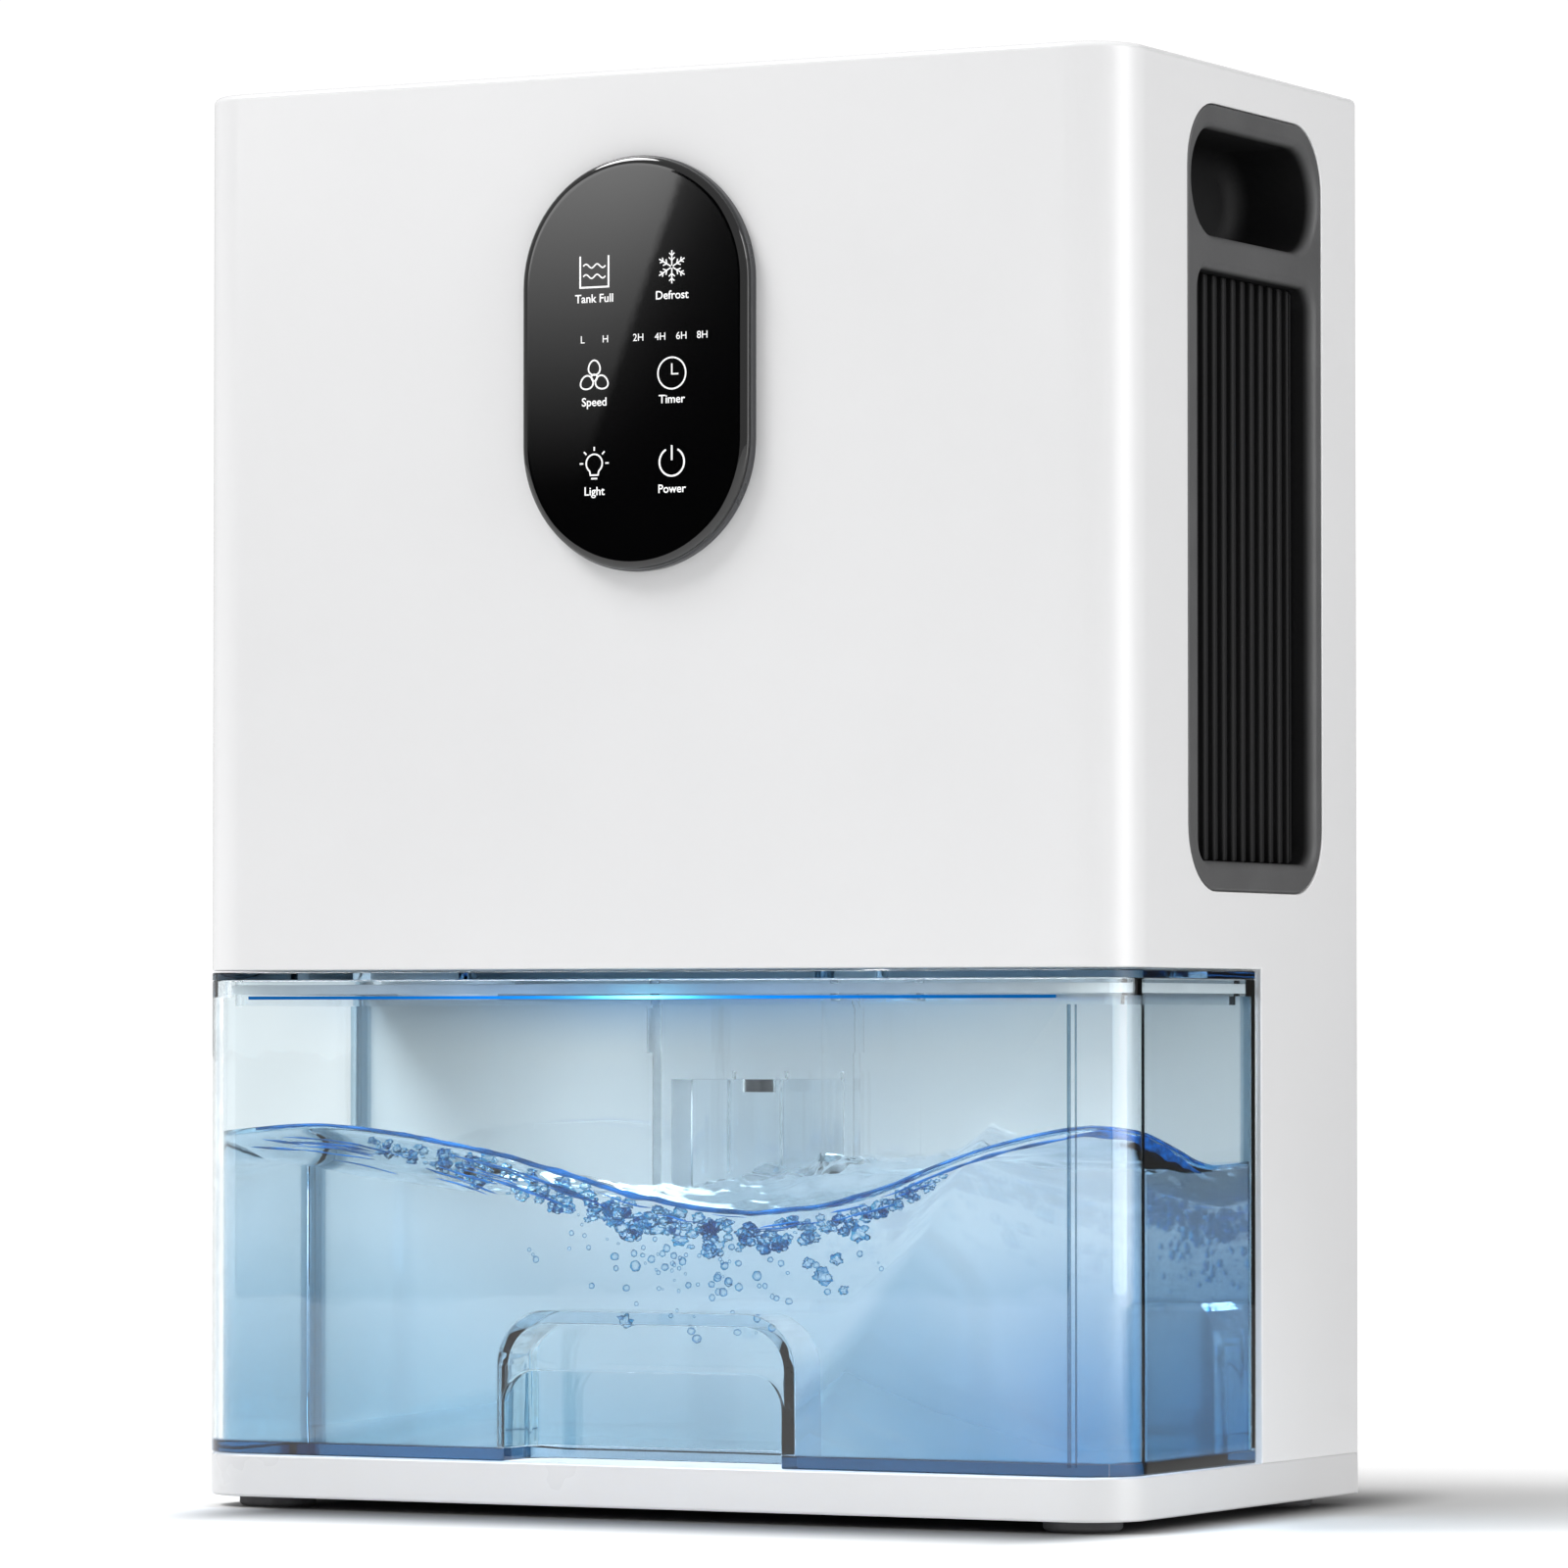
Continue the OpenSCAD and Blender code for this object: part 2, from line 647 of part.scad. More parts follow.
module fan_stator() {
  color("goldenrod") on_fan_axis(fan_y) difference() {
    union() {
      translate([0, 0, 8]) cylinder(h = 12, r = 6.5);
      for (a = [0 : 90 : 270])
        rotate([0, 0, a]) {
          translate([4, -2, 9]) cube([8.5, 4, 10]);
          translate([11.5, -5.5, 9]) cube([2, 11, 10]);
        }
    }
    translate([0, 0, 6]) cylinder(h = 16, r = bearing_r + 1.03);
  }
}

module fan_bearing() {
  color("peru") on_fan_axis(fan_y) translate([0, 0, 7]) difference() {
    cylinder(h = 12.5, r = bearing_r);
    translate([0, 0, -cut]) cylinder(h = 15, r = shaft_r + bearing_play);
  }
}

// ---------- cooler ----------

module hot_heatsink() {
  color("silver") {
    difference() {
      box_between([-hot_side / 2, y_hot, fan_z - hot_side / 2],
                  [hot_side / 2, y_hot + hot_base_t, fan_z + hot_side / 2]);
      for (x = [-1, 1], z = [-1, 1])
        translate([x * sink_screw_x, y_hot - cut, fan_z + z * sink_screw_z]) rotate([-90, 0, 0])
          cylinder(h = 5, r = 1.55, $fn = 32);
    }
    for (i = [-8 : 8])
      box_between([i * hot_fin_pitch - hot_fin_t / 2, y_hot + hot_base_t - 0.5, fan_z - hot_side / 2],
                  [i * hot_fin_pitch + hot_fin_t / 2, hot_fin_end, fan_z + hot_side / 2]);
  }
}

module peltier_module() {
  half = module_size / 2;
  color("white") box_between([-half, y_module, fan_z - half], [half, y_module + module_t, fan_z + half]);
}

module cold_block() {
  half = module_size / 2;
  color("silver") box_between([-half, y_block, fan_z - half], [half, y_block + block_t, fan_z + half]);
}

module insulation_frame() {
  hole = module_size / 2 + 0.3;
  color("dimgray") difference() {
    box_between([-sink_w / 2, y_block, fan_z - sink_h / 2], [sink_w / 2, y_hot, fan_z + sink_h / 2]);
    box_between([-hole, y_block - cut, fan_z - hole], [hole, y_hot + cut, fan_z + hole]);
    box_between([-9, y_hot - 4, fan_z - sink_h / 2 - cut], [9, y_hot + cut, fan_z - hole + cut]);
    for (x = [-1, 1], z = [-1, 1])
      translate([x * sink_screw_x, y_block - cut, fan_z + z * sink_screw_z]) rotate([-90, 0, 0])
        cylinder(h = y_hot - y_block + 2 * cut, r = 1.8, $fn = 32);
  }
}

module cold_heatsink() {
  y0 = y_block - cold_base_t;
  color("silver") {
    difference() {
      box_between([-sink_w / 2, y0, fan_z - sink_h / 2], [sink_w / 2, y_block, fan_z + sink_h / 2]);
      for (x = [-1, 1], z = [-1, 1])
        translate([x * sink_screw_x, y0 - cut, fan_z + z * sink_screw_z]) rotate([-90, 0, 0])
          cylinder(h = cold_base_t + 2 * cut, r = 1.7, $fn = 32);
    }
    for (i = [-7 : 7])
      box_between([i * cold_fin_pitch - 0.5, y0 - cold_fin_l, fan_z - sink_h / 2],
                  [i * cold_fin_pitch + 0.5, y0 + 0.5, fan_z + sink_h / 2]);
  }
}

// Thermistor held under the cold heatsink's base.
module defrost_sensor() {
  z = fan_z - sink_h / 2 - 2.2;
  color("black") translate([24, -2, z]) rotate([0, 90, 0]) cylinder(h = 14, r = 2, $fn = 32);
}

module drip_tray() {
  color("whitesmoke") difference() {
    union() {
      box_between([-tray_w / 2, tray_y0, tray_z], [tray_w / 2, tray_y1, tray_z + tray_h]);
      translate([spout_x, spout_y, tray_z - 12]) cylinder(h = 13, r = spout_r);
    }
    box_between([-tray_w / 2 + 2, tray_y0 + 2, tray_z + 5],
                [tray_w / 2 - 2, tray_y1 - 2, tray_z + tray_h + cut]);
    // floor that falls towards the spout
    translate([0, tray_y1 - 2, tray_z]) rotate([90, 0, 0]) linear_extrude(tray_y1 - tray_y0 - 4)
      polygon([[-tray_w / 2 + 2, 5.5], [-tray_w / 2 + 2, 5],
               [spout_x, 2], [tray_w / 2 - 2, 2.4], [tray_w / 2 - 2, 5.5]]);
    translate([spout_x, spout_y, tray_z - 12 - cut]) cylinder(h = 16, r = spout_bore);
  }
}

module drain_hose() {
  color("lightgray") translate([spout_x, spout_y, z_ceiling + wall + 0.5]) difference() {
    cylinder(h = tray_z - z_ceiling - wall - 1, r = spout_r + 1.6);
    translate([0, 0, -cut]) cylinder(h = 60, r = spout_r + 0.05);
  }
}

// ---------- electronics ----------

module power_board() {
  color("darkgreen") difference() {
    box_between([-pcb_w / 2, pcb_y, pcb_z - pcb_h / 2],
                [pcb_w / 2, pcb_y + board_t, pcb_z + pcb_h / 2]);
    for (x = [-1, 1], z = [-1, 1])
      translate([x * pcb_hole[0], pcb_y - cut, pcb_z + z * pcb_hole[1]]) rotate([-90, 0, 0])
        cylinder(h = board_t + 2 * cut, r = 1.7, $fn = 32);
  }
}

// Connectors, coil, capacitors and a small heatsink on the rear of the power board.
module power_components() {
  y0 = pcb_y + board_t;
  z1 = pcb_z + pcb_h / 2;
  color("darkslategray") {
    for (x = [-41, -20, 10, 28, 42])
      box_between([x - 4.5, y0, z1 - 8], [x + 4.5, y0 + 8, z1]);
    box_between([0.5, y0, z1 - 8], [5, y0 + 8, z1]);
    box_between([42, y0, 38], [50, y0 + 8, 46]);
    translate([-28, y0, 58]) rotate([-90, 0, 0]) difference() {
      cylinder(h = 10, r = 12);
      translate([0, 0, 1]) cylinder(h = 10, r = 5);
    }
    for (x = [0, 15])
      translate([x, y0, 48]) rotate([-90, 0, 0]) cylinder(h = 16, r = 5);
    for (x = [24 : 4 : 36])
      box_between([x, y0, 58], [x + 1.5, y0 + 14, 80]);
    box_between([24, y0, 58], [37.5, y0 + 2, 80]);
  }
}

module dc_jack() {
  color("black") difference() {
    union() {
      box_between([jack_x - 7, y_back - wall - 12, jack_z - 6],
                  [jack_x + 7, y_back - wall, jack_z + 6]);
      translate([jack_x, y_back - wall - cut, jack_z]) rotate([-90, 0, 0])
        cylinder(h = wall + cut, r = 4.4);
    }
    translate([jack_x, y_back + cut, jack_z]) rotate([90, 0, 0]) cylinder(h = 10 + cut, r = 2.85);
  }
}

module dc_pin() {
  color("silver") translate([jack_x, y_back - 1, jack_z]) rotate([90, 0, 0])
    cylinder(h = 9, r = 1.05, $fn = 32);
}

module level_sensor_board() {
  color("darkgreen") box_between([-8, y_bay + wall, 106], [8, y_bay + wall + 1.6, 122]);
}

module reed_switch() {
  color("palegreen") translate([-6, y_bay + wall + 2.9, 113]) rotate([0, 90, 0])
    cylinder(h = 12, r = 1.2, $fn = 24);
}

module light_board() {
  color("white")
    box_between([-light_w / 2 - 4, light_y - 4, z_light],
                [light_w / 2 + 4, light_y + 8, z_light + 1.2]);
}

module light_leds() {
  color("ivory")
    for (i = [-3 : 3])
      box_between([i * 22 - 2.5, light_y - 1.5, z_light - 1.2], [i * 22 + 2.5, light_y + 1.5, z_light]);
}

// Clear bar that carries the night light down to the lid.
module light_guide() {
  color("azure")
    box_between([-light_w / 2, light_y - 1.8, z_ceiling], [light_w / 2, light_y + 1.8, z_light - 1.3]);
}

// ---------- tank ----------

module tank_plan(inset) {
  footprint(body_w - 2 * inset, tank_d - 2 * inset, corner_r - inset, max(tank_rear_r - inset, 0.6));
}

module pocket_block(half, h, d, r, plan_r, drop = 0) {
  intersection() {
    facing_front(y_front + d, tank_z - drop) linear_extrude(d + 2 * cut) arch(half, h + drop, r);
    translate([0, y_front - 2 * plan_r - cut, tank_z - cut]) linear_extrude(h + 2 * cut)
      footprint(2 * half, d + 2 * plan_r + cut, 1, plan_r);
  }
}

module tank() {
  pocket_top = pocket_open_h + 11;
  color("lightskyblue") difference() {
    union() {
      difference() {
        translate([0, y_front, tank_z]) linear_extrude(rim_z - tank_z) tank_plan(0);
        translate([0, y_front + tank_wall, tank_z + tank_floor])
          linear_extrude(rim_z - rim_h - tank_z - tank_floor) tank_plan(tank_wall);
        translate([0, y_front + rim_t, rim_z - rim_h - cut]) linear_extrude(rim_h + 2 * cut)
          tank_plan(rim_t);
      }
      intersection() {
        pocket_block(pocket_half + tank_wall, pocket_top + tank_wall, pocket_d, arch_r, 9);
        translate([0, y_front, tank_z]) linear_extrude(rim_z - tank_z) tank_plan(0);
      }
    }
    // room behind the front wall for the fingers to hook up into
    difference() {
      pocket_block(pocket_half, pocket_top, pocket_d - tank_wall, arch_r - tank_wall, 9 - tank_wall, cut);
      box_between([-body_w, y_front - cut * 9, tank_z - cut * 2], [body_w, y_front + tank_wall, rim_z]);
    }
    // opening in the front wall
    facing_front(y_front + tank_wall + 0.01, tank_z - cut) linear_extrude(tank_wall + cut)
      arch(pocket_half, pocket_open_h + cut, 8);
  }
}

module tank_lid() {
  plate_z = rim_z;
  skirt_in = rim_t + 1;
  skirt_z = rim_z - 6;
  color("lightblue") difference() {
    union() {
      translate([0, y_front, plate_z]) linear_extrude(lid_top - plate_z) tank_plan(0);
      difference() {
        translate([0, y_front + skirt_in, skirt_z]) linear_extrude(rim_z - skirt_z + 0.5)
          tank_plan(skirt_in);
        translate([0, y_front + skirt_in + 1.8, skirt_z - cut]) linear_extrude(rim_z - skirt_z + cut)
          tank_plan(skirt_in + 1.8);
      }
      translate([plug_x, plug_y, rim_z - 3]) cylinder(h = 3.5, r = 18);
      translate([spout_x, spout_y, rim_z - 5]) cylinder(h = 5.5, r = 11);
    }
    translate([spout_x, spout_y, rim_z - 5 - cut]) cylinder(h = 12, r = 9);
    translate([plug_x, plug_y, lid_top - 3]) cylinder(h = 3 + cut, r = 16);
    translate([plug_x, plug_y, rim_z - 3 - cut]) cylinder(h = 8, r = 12);
  }
}

module lid_seal() {
  color("white") translate([0, 0, rim_z - 3.4]) linear_extrude(2.2) difference() {
    translate([0, y_front + rim_t + 0.02]) tank_plan(rim_t + 0.02);
    translate([0, y_front + rim_t + 0.98]) tank_plan(rim_t + 0.98);
  }
}

module pour_plug() {
  color("whitesmoke") translate([plug_x, plug_y, 0]) {
    translate([0, 0, lid_top - 2.9]) cylinder(h = 2.7, r = 15.8);
    translate([0, 0, rim_z - 4.5]) cylinder(h = lid_top - 2.9 - rim_z + 4.6, r = 11.9);
  }
}

// Guide for the float, hung from the lid, with slots in its rear wall that let the water in.
module float_cage() {
  top = rim_z - 0.1;
  color("aliceblue") difference() {
    union() {
      translate([0, cage_y, cage_z]) linear_extrude(top - cage_z) round_rect(cage_w, cage_d, 3);
      translate([0, cage_y - 0.5, collar_z]) linear_extrude(10.5) round_rect(cage_w + 2, cage_d + 1, 3);
    }
    translate([0, cage_y, cage_z + 2]) linear_extrude(top) round_rect(cage_w - 4, cage_d - 4, 1.5);
    translate([0, cage_y, cage_z - cut]) linear_extrude(4) square([30, 10], center = true);
    for (x = [-14, 0, 14])
      box_between([x - 3, cage_y, cage_z + 6], [x + 3, cage_y + cage_d, cage_z + 30]);
  }
}

module tank_float() {
  half_w = cage_w / 2 - 4;
  color("white") difference() {
    translate([0, cage_y, float_z]) linear_extrude(float_h) round_rect(2 * half_w, cage_d - 6, 2);
    translate([0, magnet_y, float_z + float_h - 3]) cylinder(h = 3 + cut, r = 4.05);
  }
}

module float_magnet() {
  color("gray") translate([0, magnet_y, float_z + float_h - 3]) cylinder(h = 3, r = 4);
}

// ---------- leads ----------

module peltier_leads() {
  color("red") for (x = [-2, 2]) lead(peltier_route, 0.9, [x, 0, 0]);
}

module fan_lead() {
  color("black") lead(fan_route, 1.2);
}

module panel_cable() {
  color("lightgray") lead(panel_route, 1.6);
}

module dc_lead() {
  color("black") for (z = [-1.5, 1.5]) lead(dc_route, 1.1, [0, 0, z]);
}

module light_lead() {
  color("lightgray") lead(light_route, 0.9);
}

module sensor_leads() {
  color("lightgray") {
    lead(frost_route, 0.8);
    lead(level_route, 0.8);
  }
}

// ---------- fasteners ----------

module rear_cover_screws() {
  color("silver")
    for (p = rear_screw_xz)
      translate([p[0], y_back - 1.5, p[1]]) rotate([90, 0, 0]) screw(2.8, 1.3, 1.25, 12);
}

module fan_screws() {
  color("silver")
    for (x = [-1, 1], z = [-1, 1])
      translate([x * fan_hole, y_back - 1.5, fan_z + z * fan_hole]) rotate([90, 0, 0])
        screw(3.6, 1.3, fan_screw_r, 29);
}

module heatsink_screws() {
  color("silver")
    for (x = [-1, 1], z = [-1, 1])
      translate([x * sink_screw_x, y_block - cold_base_t, fan_z + z * sink_screw_z]) rotate([-90, 0, 0])
        screw(2.8, 1.6, 1.5, y_hot - y_block + cold_base_t + 3.5);
}

module panel_board_screws() {
  color("silver")
    for (p = board_screw_xz)
      translate([p[0], board_y + board_t, z_panel + p[1]]) rotate([90, 0, 0]) screw(2, 1.4, 1, 6.5);
}

module power_board_screws() {
  color("silver")
    for (x = [-1, 1], z = [-1, 1])
      translate([x * pcb_hole[0], pcb_y + board_t, pcb_z + z * pcb_hole[1]]) rotate([90, 0, 0])
        screw(2.6, 1.5, 1.25, 6);
}

module liner_screws() {
  color("silver")
    for (p = liner_screw_xy)
      translate([p[0], p[1], z_ceiling + 1.4]) screw(2.7, 1.2, 1.25, 10);
}

module base_screws() {
  color("silver")
    for (p = base_screw_xy)
      translate([p[0], p[1], z_base + 1.2]) screw(2.7, 1.1, 1.25, 5.2);
}

main_shell();
base_tray();
rear_cover();
base_plate();
rubber_feet();
bay_ceiling();
bay_rear_wall();
side_insert_right();
side_insert_left();
louvre_right();
louvre_left();
panel_bezel();
panel_lens();
control_board();
touch_springs();
indicator_leds();
fan_frame();
fan_rotor();
fan_shaft();
fan_magnet_ring();
fan_stator();
fan_bearing();
hot_heatsink();
peltier_module();
cold_block();
insulation_frame();
cold_heatsink();
defrost_sensor();
drip_tray();
drain_hose();
power_board();
power_components();
dc_jack();
dc_pin();
level_sensor_board();
reed_switch();
light_board();
light_leds();
light_guide();
tank();
tank_lid();
lid_seal();
pour_plug();
float_cage();
tank_float();
float_magnet();
peltier_leads();
fan_lead();
panel_cable();
dc_lead();
light_lead();
sensor_leads();
rear_cover_screws();
fan_screws();
heatsink_screws();
panel_board_screws();
power_board_screws();
liner_screws();
base_screws();
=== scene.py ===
import json
import math
import random

import bmesh
import bpy
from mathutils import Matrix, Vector, noise

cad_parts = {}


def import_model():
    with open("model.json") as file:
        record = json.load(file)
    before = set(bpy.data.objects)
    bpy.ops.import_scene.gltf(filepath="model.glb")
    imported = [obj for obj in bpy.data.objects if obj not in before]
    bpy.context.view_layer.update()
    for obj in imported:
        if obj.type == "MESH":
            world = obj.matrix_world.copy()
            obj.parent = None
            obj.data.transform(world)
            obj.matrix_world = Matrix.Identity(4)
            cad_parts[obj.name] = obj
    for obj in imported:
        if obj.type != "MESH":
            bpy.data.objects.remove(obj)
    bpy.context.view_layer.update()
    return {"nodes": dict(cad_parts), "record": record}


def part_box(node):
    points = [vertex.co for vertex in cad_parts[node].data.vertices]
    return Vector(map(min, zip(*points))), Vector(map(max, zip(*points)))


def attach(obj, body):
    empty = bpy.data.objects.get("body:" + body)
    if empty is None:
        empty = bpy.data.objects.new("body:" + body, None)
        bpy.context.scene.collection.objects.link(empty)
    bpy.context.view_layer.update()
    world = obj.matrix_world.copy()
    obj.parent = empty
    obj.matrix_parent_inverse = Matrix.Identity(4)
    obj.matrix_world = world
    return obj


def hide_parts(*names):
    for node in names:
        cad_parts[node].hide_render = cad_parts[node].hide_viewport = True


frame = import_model()
nodes = frame["nodes"]
rng = random.Random(31)
MM = 0.001


def box_mm(node):
    """Lowest and highest corner of a CAD node, in millimetres."""
    low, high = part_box(node)
    return low / MM, high / MM


# ---------------------------------------------------------------- places taken from the CAD
SHELL_LO, SHELL_HI = box_mm("main_shell")
TRAY_LO, TRAY_HI = box_mm("base_tray")
LENS_LO, LENS_HI = box_mm("panel_lens")
TANK_LO, TANK_HI = box_mm("tank")
CEILING_Z = box_mm("bay_ceiling")[0].z
PANEL_Z = (LENS_LO.z + LENS_HI.z) / 2
FRONT_Y = TANK_LO.y
SIDE_X = SHELL_HI.x
WALL = 2.7
CORNER_R = 14
REAR_R = 4
BAY_BACK_Y = 12
WATER_CORNER_R = CORNER_R - WALL
WATER_SIDE = (TANK_HI.x - WALL) * MM


# ---------------------------------------------------------------- material builder
def put(tree, kind, inputs=None, **settings):
    """Adds one shader node, sets its properties and connects or fills its inputs."""
    node = tree.nodes.new("ShaderNode" + kind)
    for key, value in settings.items():
        setattr(node, key, value)
    for key, value in (inputs or {}).items():
        if isinstance(value, bpy.types.NodeSocket):
            tree.links.new(value, node.inputs[key])
        else:
            node.inputs[key].default_value = value
    return node


def new_tree(name):
    material = bpy.data.materials.new(name)
    material.use_nodes = True
    material.node_tree.nodes.clear()
    return material, material.node_tree


def rgb(colour, gain=1.0):
    return tuple(min(1.0, c * gain) for c in colour[:3]) + (1.0,)


def place(tree, stretch=(1, 1, 1)):
    coords = put(tree, "TexCoord").outputs["Object"]
    return put(tree, "Mapping", {"Vector": coords, "Scale": stretch}).outputs["Vector"]


def cloud(tree, vector, size_mm, detail=3.0, low=0.35, high=0.65, to_min=0.0, to_max=1.0):
    """Noise with blobs of about size_mm, mapped to a range."""
    fac = put(tree, "TexNoise", {"Vector": vector, "Scale": 1000 / size_mm, "Detail": detail}).outputs["Fac"]
    return put(tree, "MapRange", {"Value": fac, "From Min": low, "From Max": high,
                                  "To Min": to_min, "To Max": to_max}).outputs["Result"]


def object_axes(tree):
    """X, Y and Z of the place on the object, in metres."""
    return put(tree, "SeparateXYZ", {"Vector": put(tree, "TexCoord").outputs["Object"]}).outputs


def mixed(tree, amount, below, above):
    """Colour that goes from below to above as amount goes from 0 to 1."""
    return put(tree, "Mix", {0: amount, 6: below, 7: above}, data_type="RGBA").outputs[2]


def principled(tree):
    return next(n for n in tree.nodes if n.type == "BSDF_PRINCIPLED")


def ramped(tree, value, start, end, low=0.0, high=1.0):
    return put(tree, "MapRange", {"Value": value, "From Min": start, "From Max": end,
                                  "To Min": low, "To Max": high}).outputs["Result"]


def math_node(tree, operation, *values):
    return put(tree, "Math", dict(enumerate(values)), operation=operation).outputs["Value"]


def surface(name, base, rough, speck=0.03, swing=0.05, broad=35, grain=0.5, relief=0.02,
            stretch=(1, 1, 1), metal=0.0, coat=0.0, specular=0.5, islands=None, emit=0.0):
    """Opaque material with mottled colour, uneven gloss and a fine moulded or brushed relief."""
    material, tree = new_tree(name)
    where = place(tree, stretch)
    colour = mixed(tree, cloud(tree, where, broad), rgb(base, 1 - speck), rgb(base, 1 + speck))
    if islands:
        ramp = put(tree, "ValToRGB", {"Fac": put(tree, "NewGeometry").outputs["Random Per Island"]})
        ramp.color_ramp.interpolation = "CONSTANT"
        for i, tone in enumerate(islands):
            at = i / len(islands)
            stop = ramp.color_ramp.elements[i] if i < 2 else ramp.color_ramp.elements.new(at)
            stop.position, stop.color = at, rgb(tone)
        colour = mixed(tree, 0.85, colour, ramp.outputs["Color"])
    gloss = cloud(tree, where, broad * 0.6, 4.0, 0.3, 0.7, max(0.004, rough - swing), rough + swing)
    height = put(tree, "TexNoise", {"Vector": where, "Scale": 1000 / grain, "Detail": 2.0}).outputs["Fac"]
    bump = put(tree, "Bump", {"Height": height, "Strength": relief, "Distance": 0.0006}).outputs["Normal"]
    out = put(tree, "BsdfPrincipled", {
        "Base Color": colour, "Roughness": gloss, "Normal": bump, "Metallic": metal,
        "Specular IOR Level": specular, "Coat Weight": coat, "Coat Roughness": 0.08})
    if emit:
        out.inputs["Emission Color"].default_value = rgb(base)
        out.inputs["Emission Strength"].default_value = emit
    put(tree, "OutputMaterial", {"Surface": out.outputs[0]})
    return material


def paint_recess_shade(material, colour):
    """Paints shade into a side insert away from its outer face: a darker colour, painted shade in the pocket
    and the louvre recess, and duller gloss.
    """
    tree = material.node_tree
    shader = principled(tree)
    x = math_node(tree, "ABSOLUTE", object_axes(tree)["X"])
    inside = ramped(tree, x, 0.1203, 0.1180)
    face = shader.inputs["Base Color"].links[0].from_socket
    tree.links.new(mixed(tree, inside, face, rgb(colour)), shader.inputs["Base Color"])
    gloss = shader.inputs["Roughness"].links[0].from_socket
    dull = put(tree, "Mix", {0: inside, 2: gloss, 3: 0.62}).outputs[0]
    tree.links.new(dull, shader.inputs["Roughness"])
    return material


def clear(name, plain, depth_tint, density, rough=0.02, ior=1.5, wave=0.0, shade=None, gradient=None,
          coat=0.0):
    """Clear plastic or water. Shadow rays pass straight through it, tinted."""
    material, tree = new_tree(name)
    where = place(tree)
    colour = gradient(tree) if gradient else None
    gloss = cloud(tree, where, 22, 4.0, 0.3, 0.7, rough * 0.6, rough * 1.4)
    bumps = put(tree, "TexNoise", {"Vector": where, "Scale": 60.0, "Detail": 1.0}).outputs["Fac"]
    normal = put(tree, "Bump", {"Height": bumps, "Strength": wave, "Distance": 0.002}).outputs["Normal"]
    glass = put(tree, "BsdfPrincipled", {
        "Base Color": colour or rgb(plain), "Roughness": gloss, "IOR": ior,
        "Transmission Weight": 1.0, "Normal": normal, "Coat Weight": coat, "Coat Roughness": 0.02})
    straight = put(tree, "BsdfTransparent", {"Color": rgb(shade or plain)})
    ray = put(tree, "LightPath").outputs["Is Shadow Ray"]
    either = put(tree, "MixShader", {0: ray, 1: glass.outputs[0], 2: straight.outputs[0]})
    out = put(tree, "OutputMaterial", {"Surface": either.outputs[0]})
    if density:
        volume = put(tree, "VolumeAbsorption", {"Color": rgb(depth_tint), "Density": density})
        tree.links.new(volume.outputs[0], out.inputs["Volume"])
    return material


def water_painted_shade(tree):
    """Painted shade: clear in the middle, greyer blue to the left and along the bottom, deep blue to the
    lower right.
    """
    axes = object_axes(tree)
    down = ramped(tree, axes["Z"], 0.066, 0.014)
    left = ramped(tree, axes["X"], -0.045, -0.112, 0.0, 0.34)
    low = math_node(tree, "ADD", left, ramped(tree, down, 0, 1, 0.0, 0.85))
    right = math_node(tree, "POWER", ramped(tree, axes["X"], 0.020, 0.112), 1.5)
    right = math_node(tree, "MULTIPLY", right, ramped(tree, down, 0, 1, 0.20, 1.15))
    middle = rgb((0.995, 0.998, 1.0))
    front = mixed(tree, low, middle, rgb((0.34, 0.55, 0.66)))
    front = mixed(tree, right, front, rgb((0.05, 0.33, 0.66)))
    flank = mixed(tree, ramped(tree, down, 0, 1, 0.50, 0.97), middle, rgb((0.03, 0.46, 0.98)))
    on_flank = ramped(tree, axes["X"], WATER_SIDE - 0.0006, WATER_SIDE - 0.0002)
    return mixed(tree, on_flank, front, flank)


def tank_painted_shade_and_glow(tree):
    """Clear, with painted dark blue shade where thick plastic looks dark: in the slab, the front left corner
    and the rear ends; and a painted blue glow on the front wall under the night light.
    """
    axes = object_axes(tree)
    slab = ramped(tree, axes["Z"], (TANK_LO.z + 3.4) * MM, (TANK_LO.z + 2.8) * MM)
    out = math_node(tree, "ABSOLUTE", axes["X"])
    ends = math_node(tree, "MULTIPLY", ramped(tree, out, 0.1150, 0.1156),
                     ramped(tree, axes["Y"], (TANK_HI.y - 3.6) * MM, (TANK_HI.y - 3.2) * MM))
    left = math_node(tree, "MULTIPLY", ramped(tree, axes["X"], -0.1180, -0.1190),
                     ramped(tree, axes["Y"], (FRONT_Y + 8.0) * MM, (FRONT_Y + 6.0) * MM))
    front = ramped(tree, axes["Y"], (FRONT_Y + 4.0) * MM, (FRONT_Y + 3.5) * MM)
    # painted glow of the night light on the front wall
    halo = math_node(tree, "POWER", ramped(tree, axes["Z"], 0.1055, 0.1190), 1.7)
    halo = math_node(tree, "MULTIPLY", halo, ramped(tree, out, 0.100, 0.012, 0.0, 0.65))
    halo = math_node(tree, "MULTIPLY", halo, front)
    clean = mixed(tree, halo, rgb((0.94, 0.986, 0.997)), rgb((0.32, 0.64, 1.0)))
    walls = mixed(tree, math_node(tree, "MAXIMUM", ends, left), clean, rgb((0.22, 0.38, 0.50)))
    edges = math_node(tree, "MAXIMUM", front, ramped(tree, out, 0.1160, 0.1165))
    # painted near-black blue shade on the slab's front and outer edges
    return mixed(tree, math_node(tree, "MULTIPLY", slab, edges), walls, rgb((0.004, 0.05, 0.16)))


TOWARDS_PHOTO_CAMERA = (0.46, -0.885, 0.05)
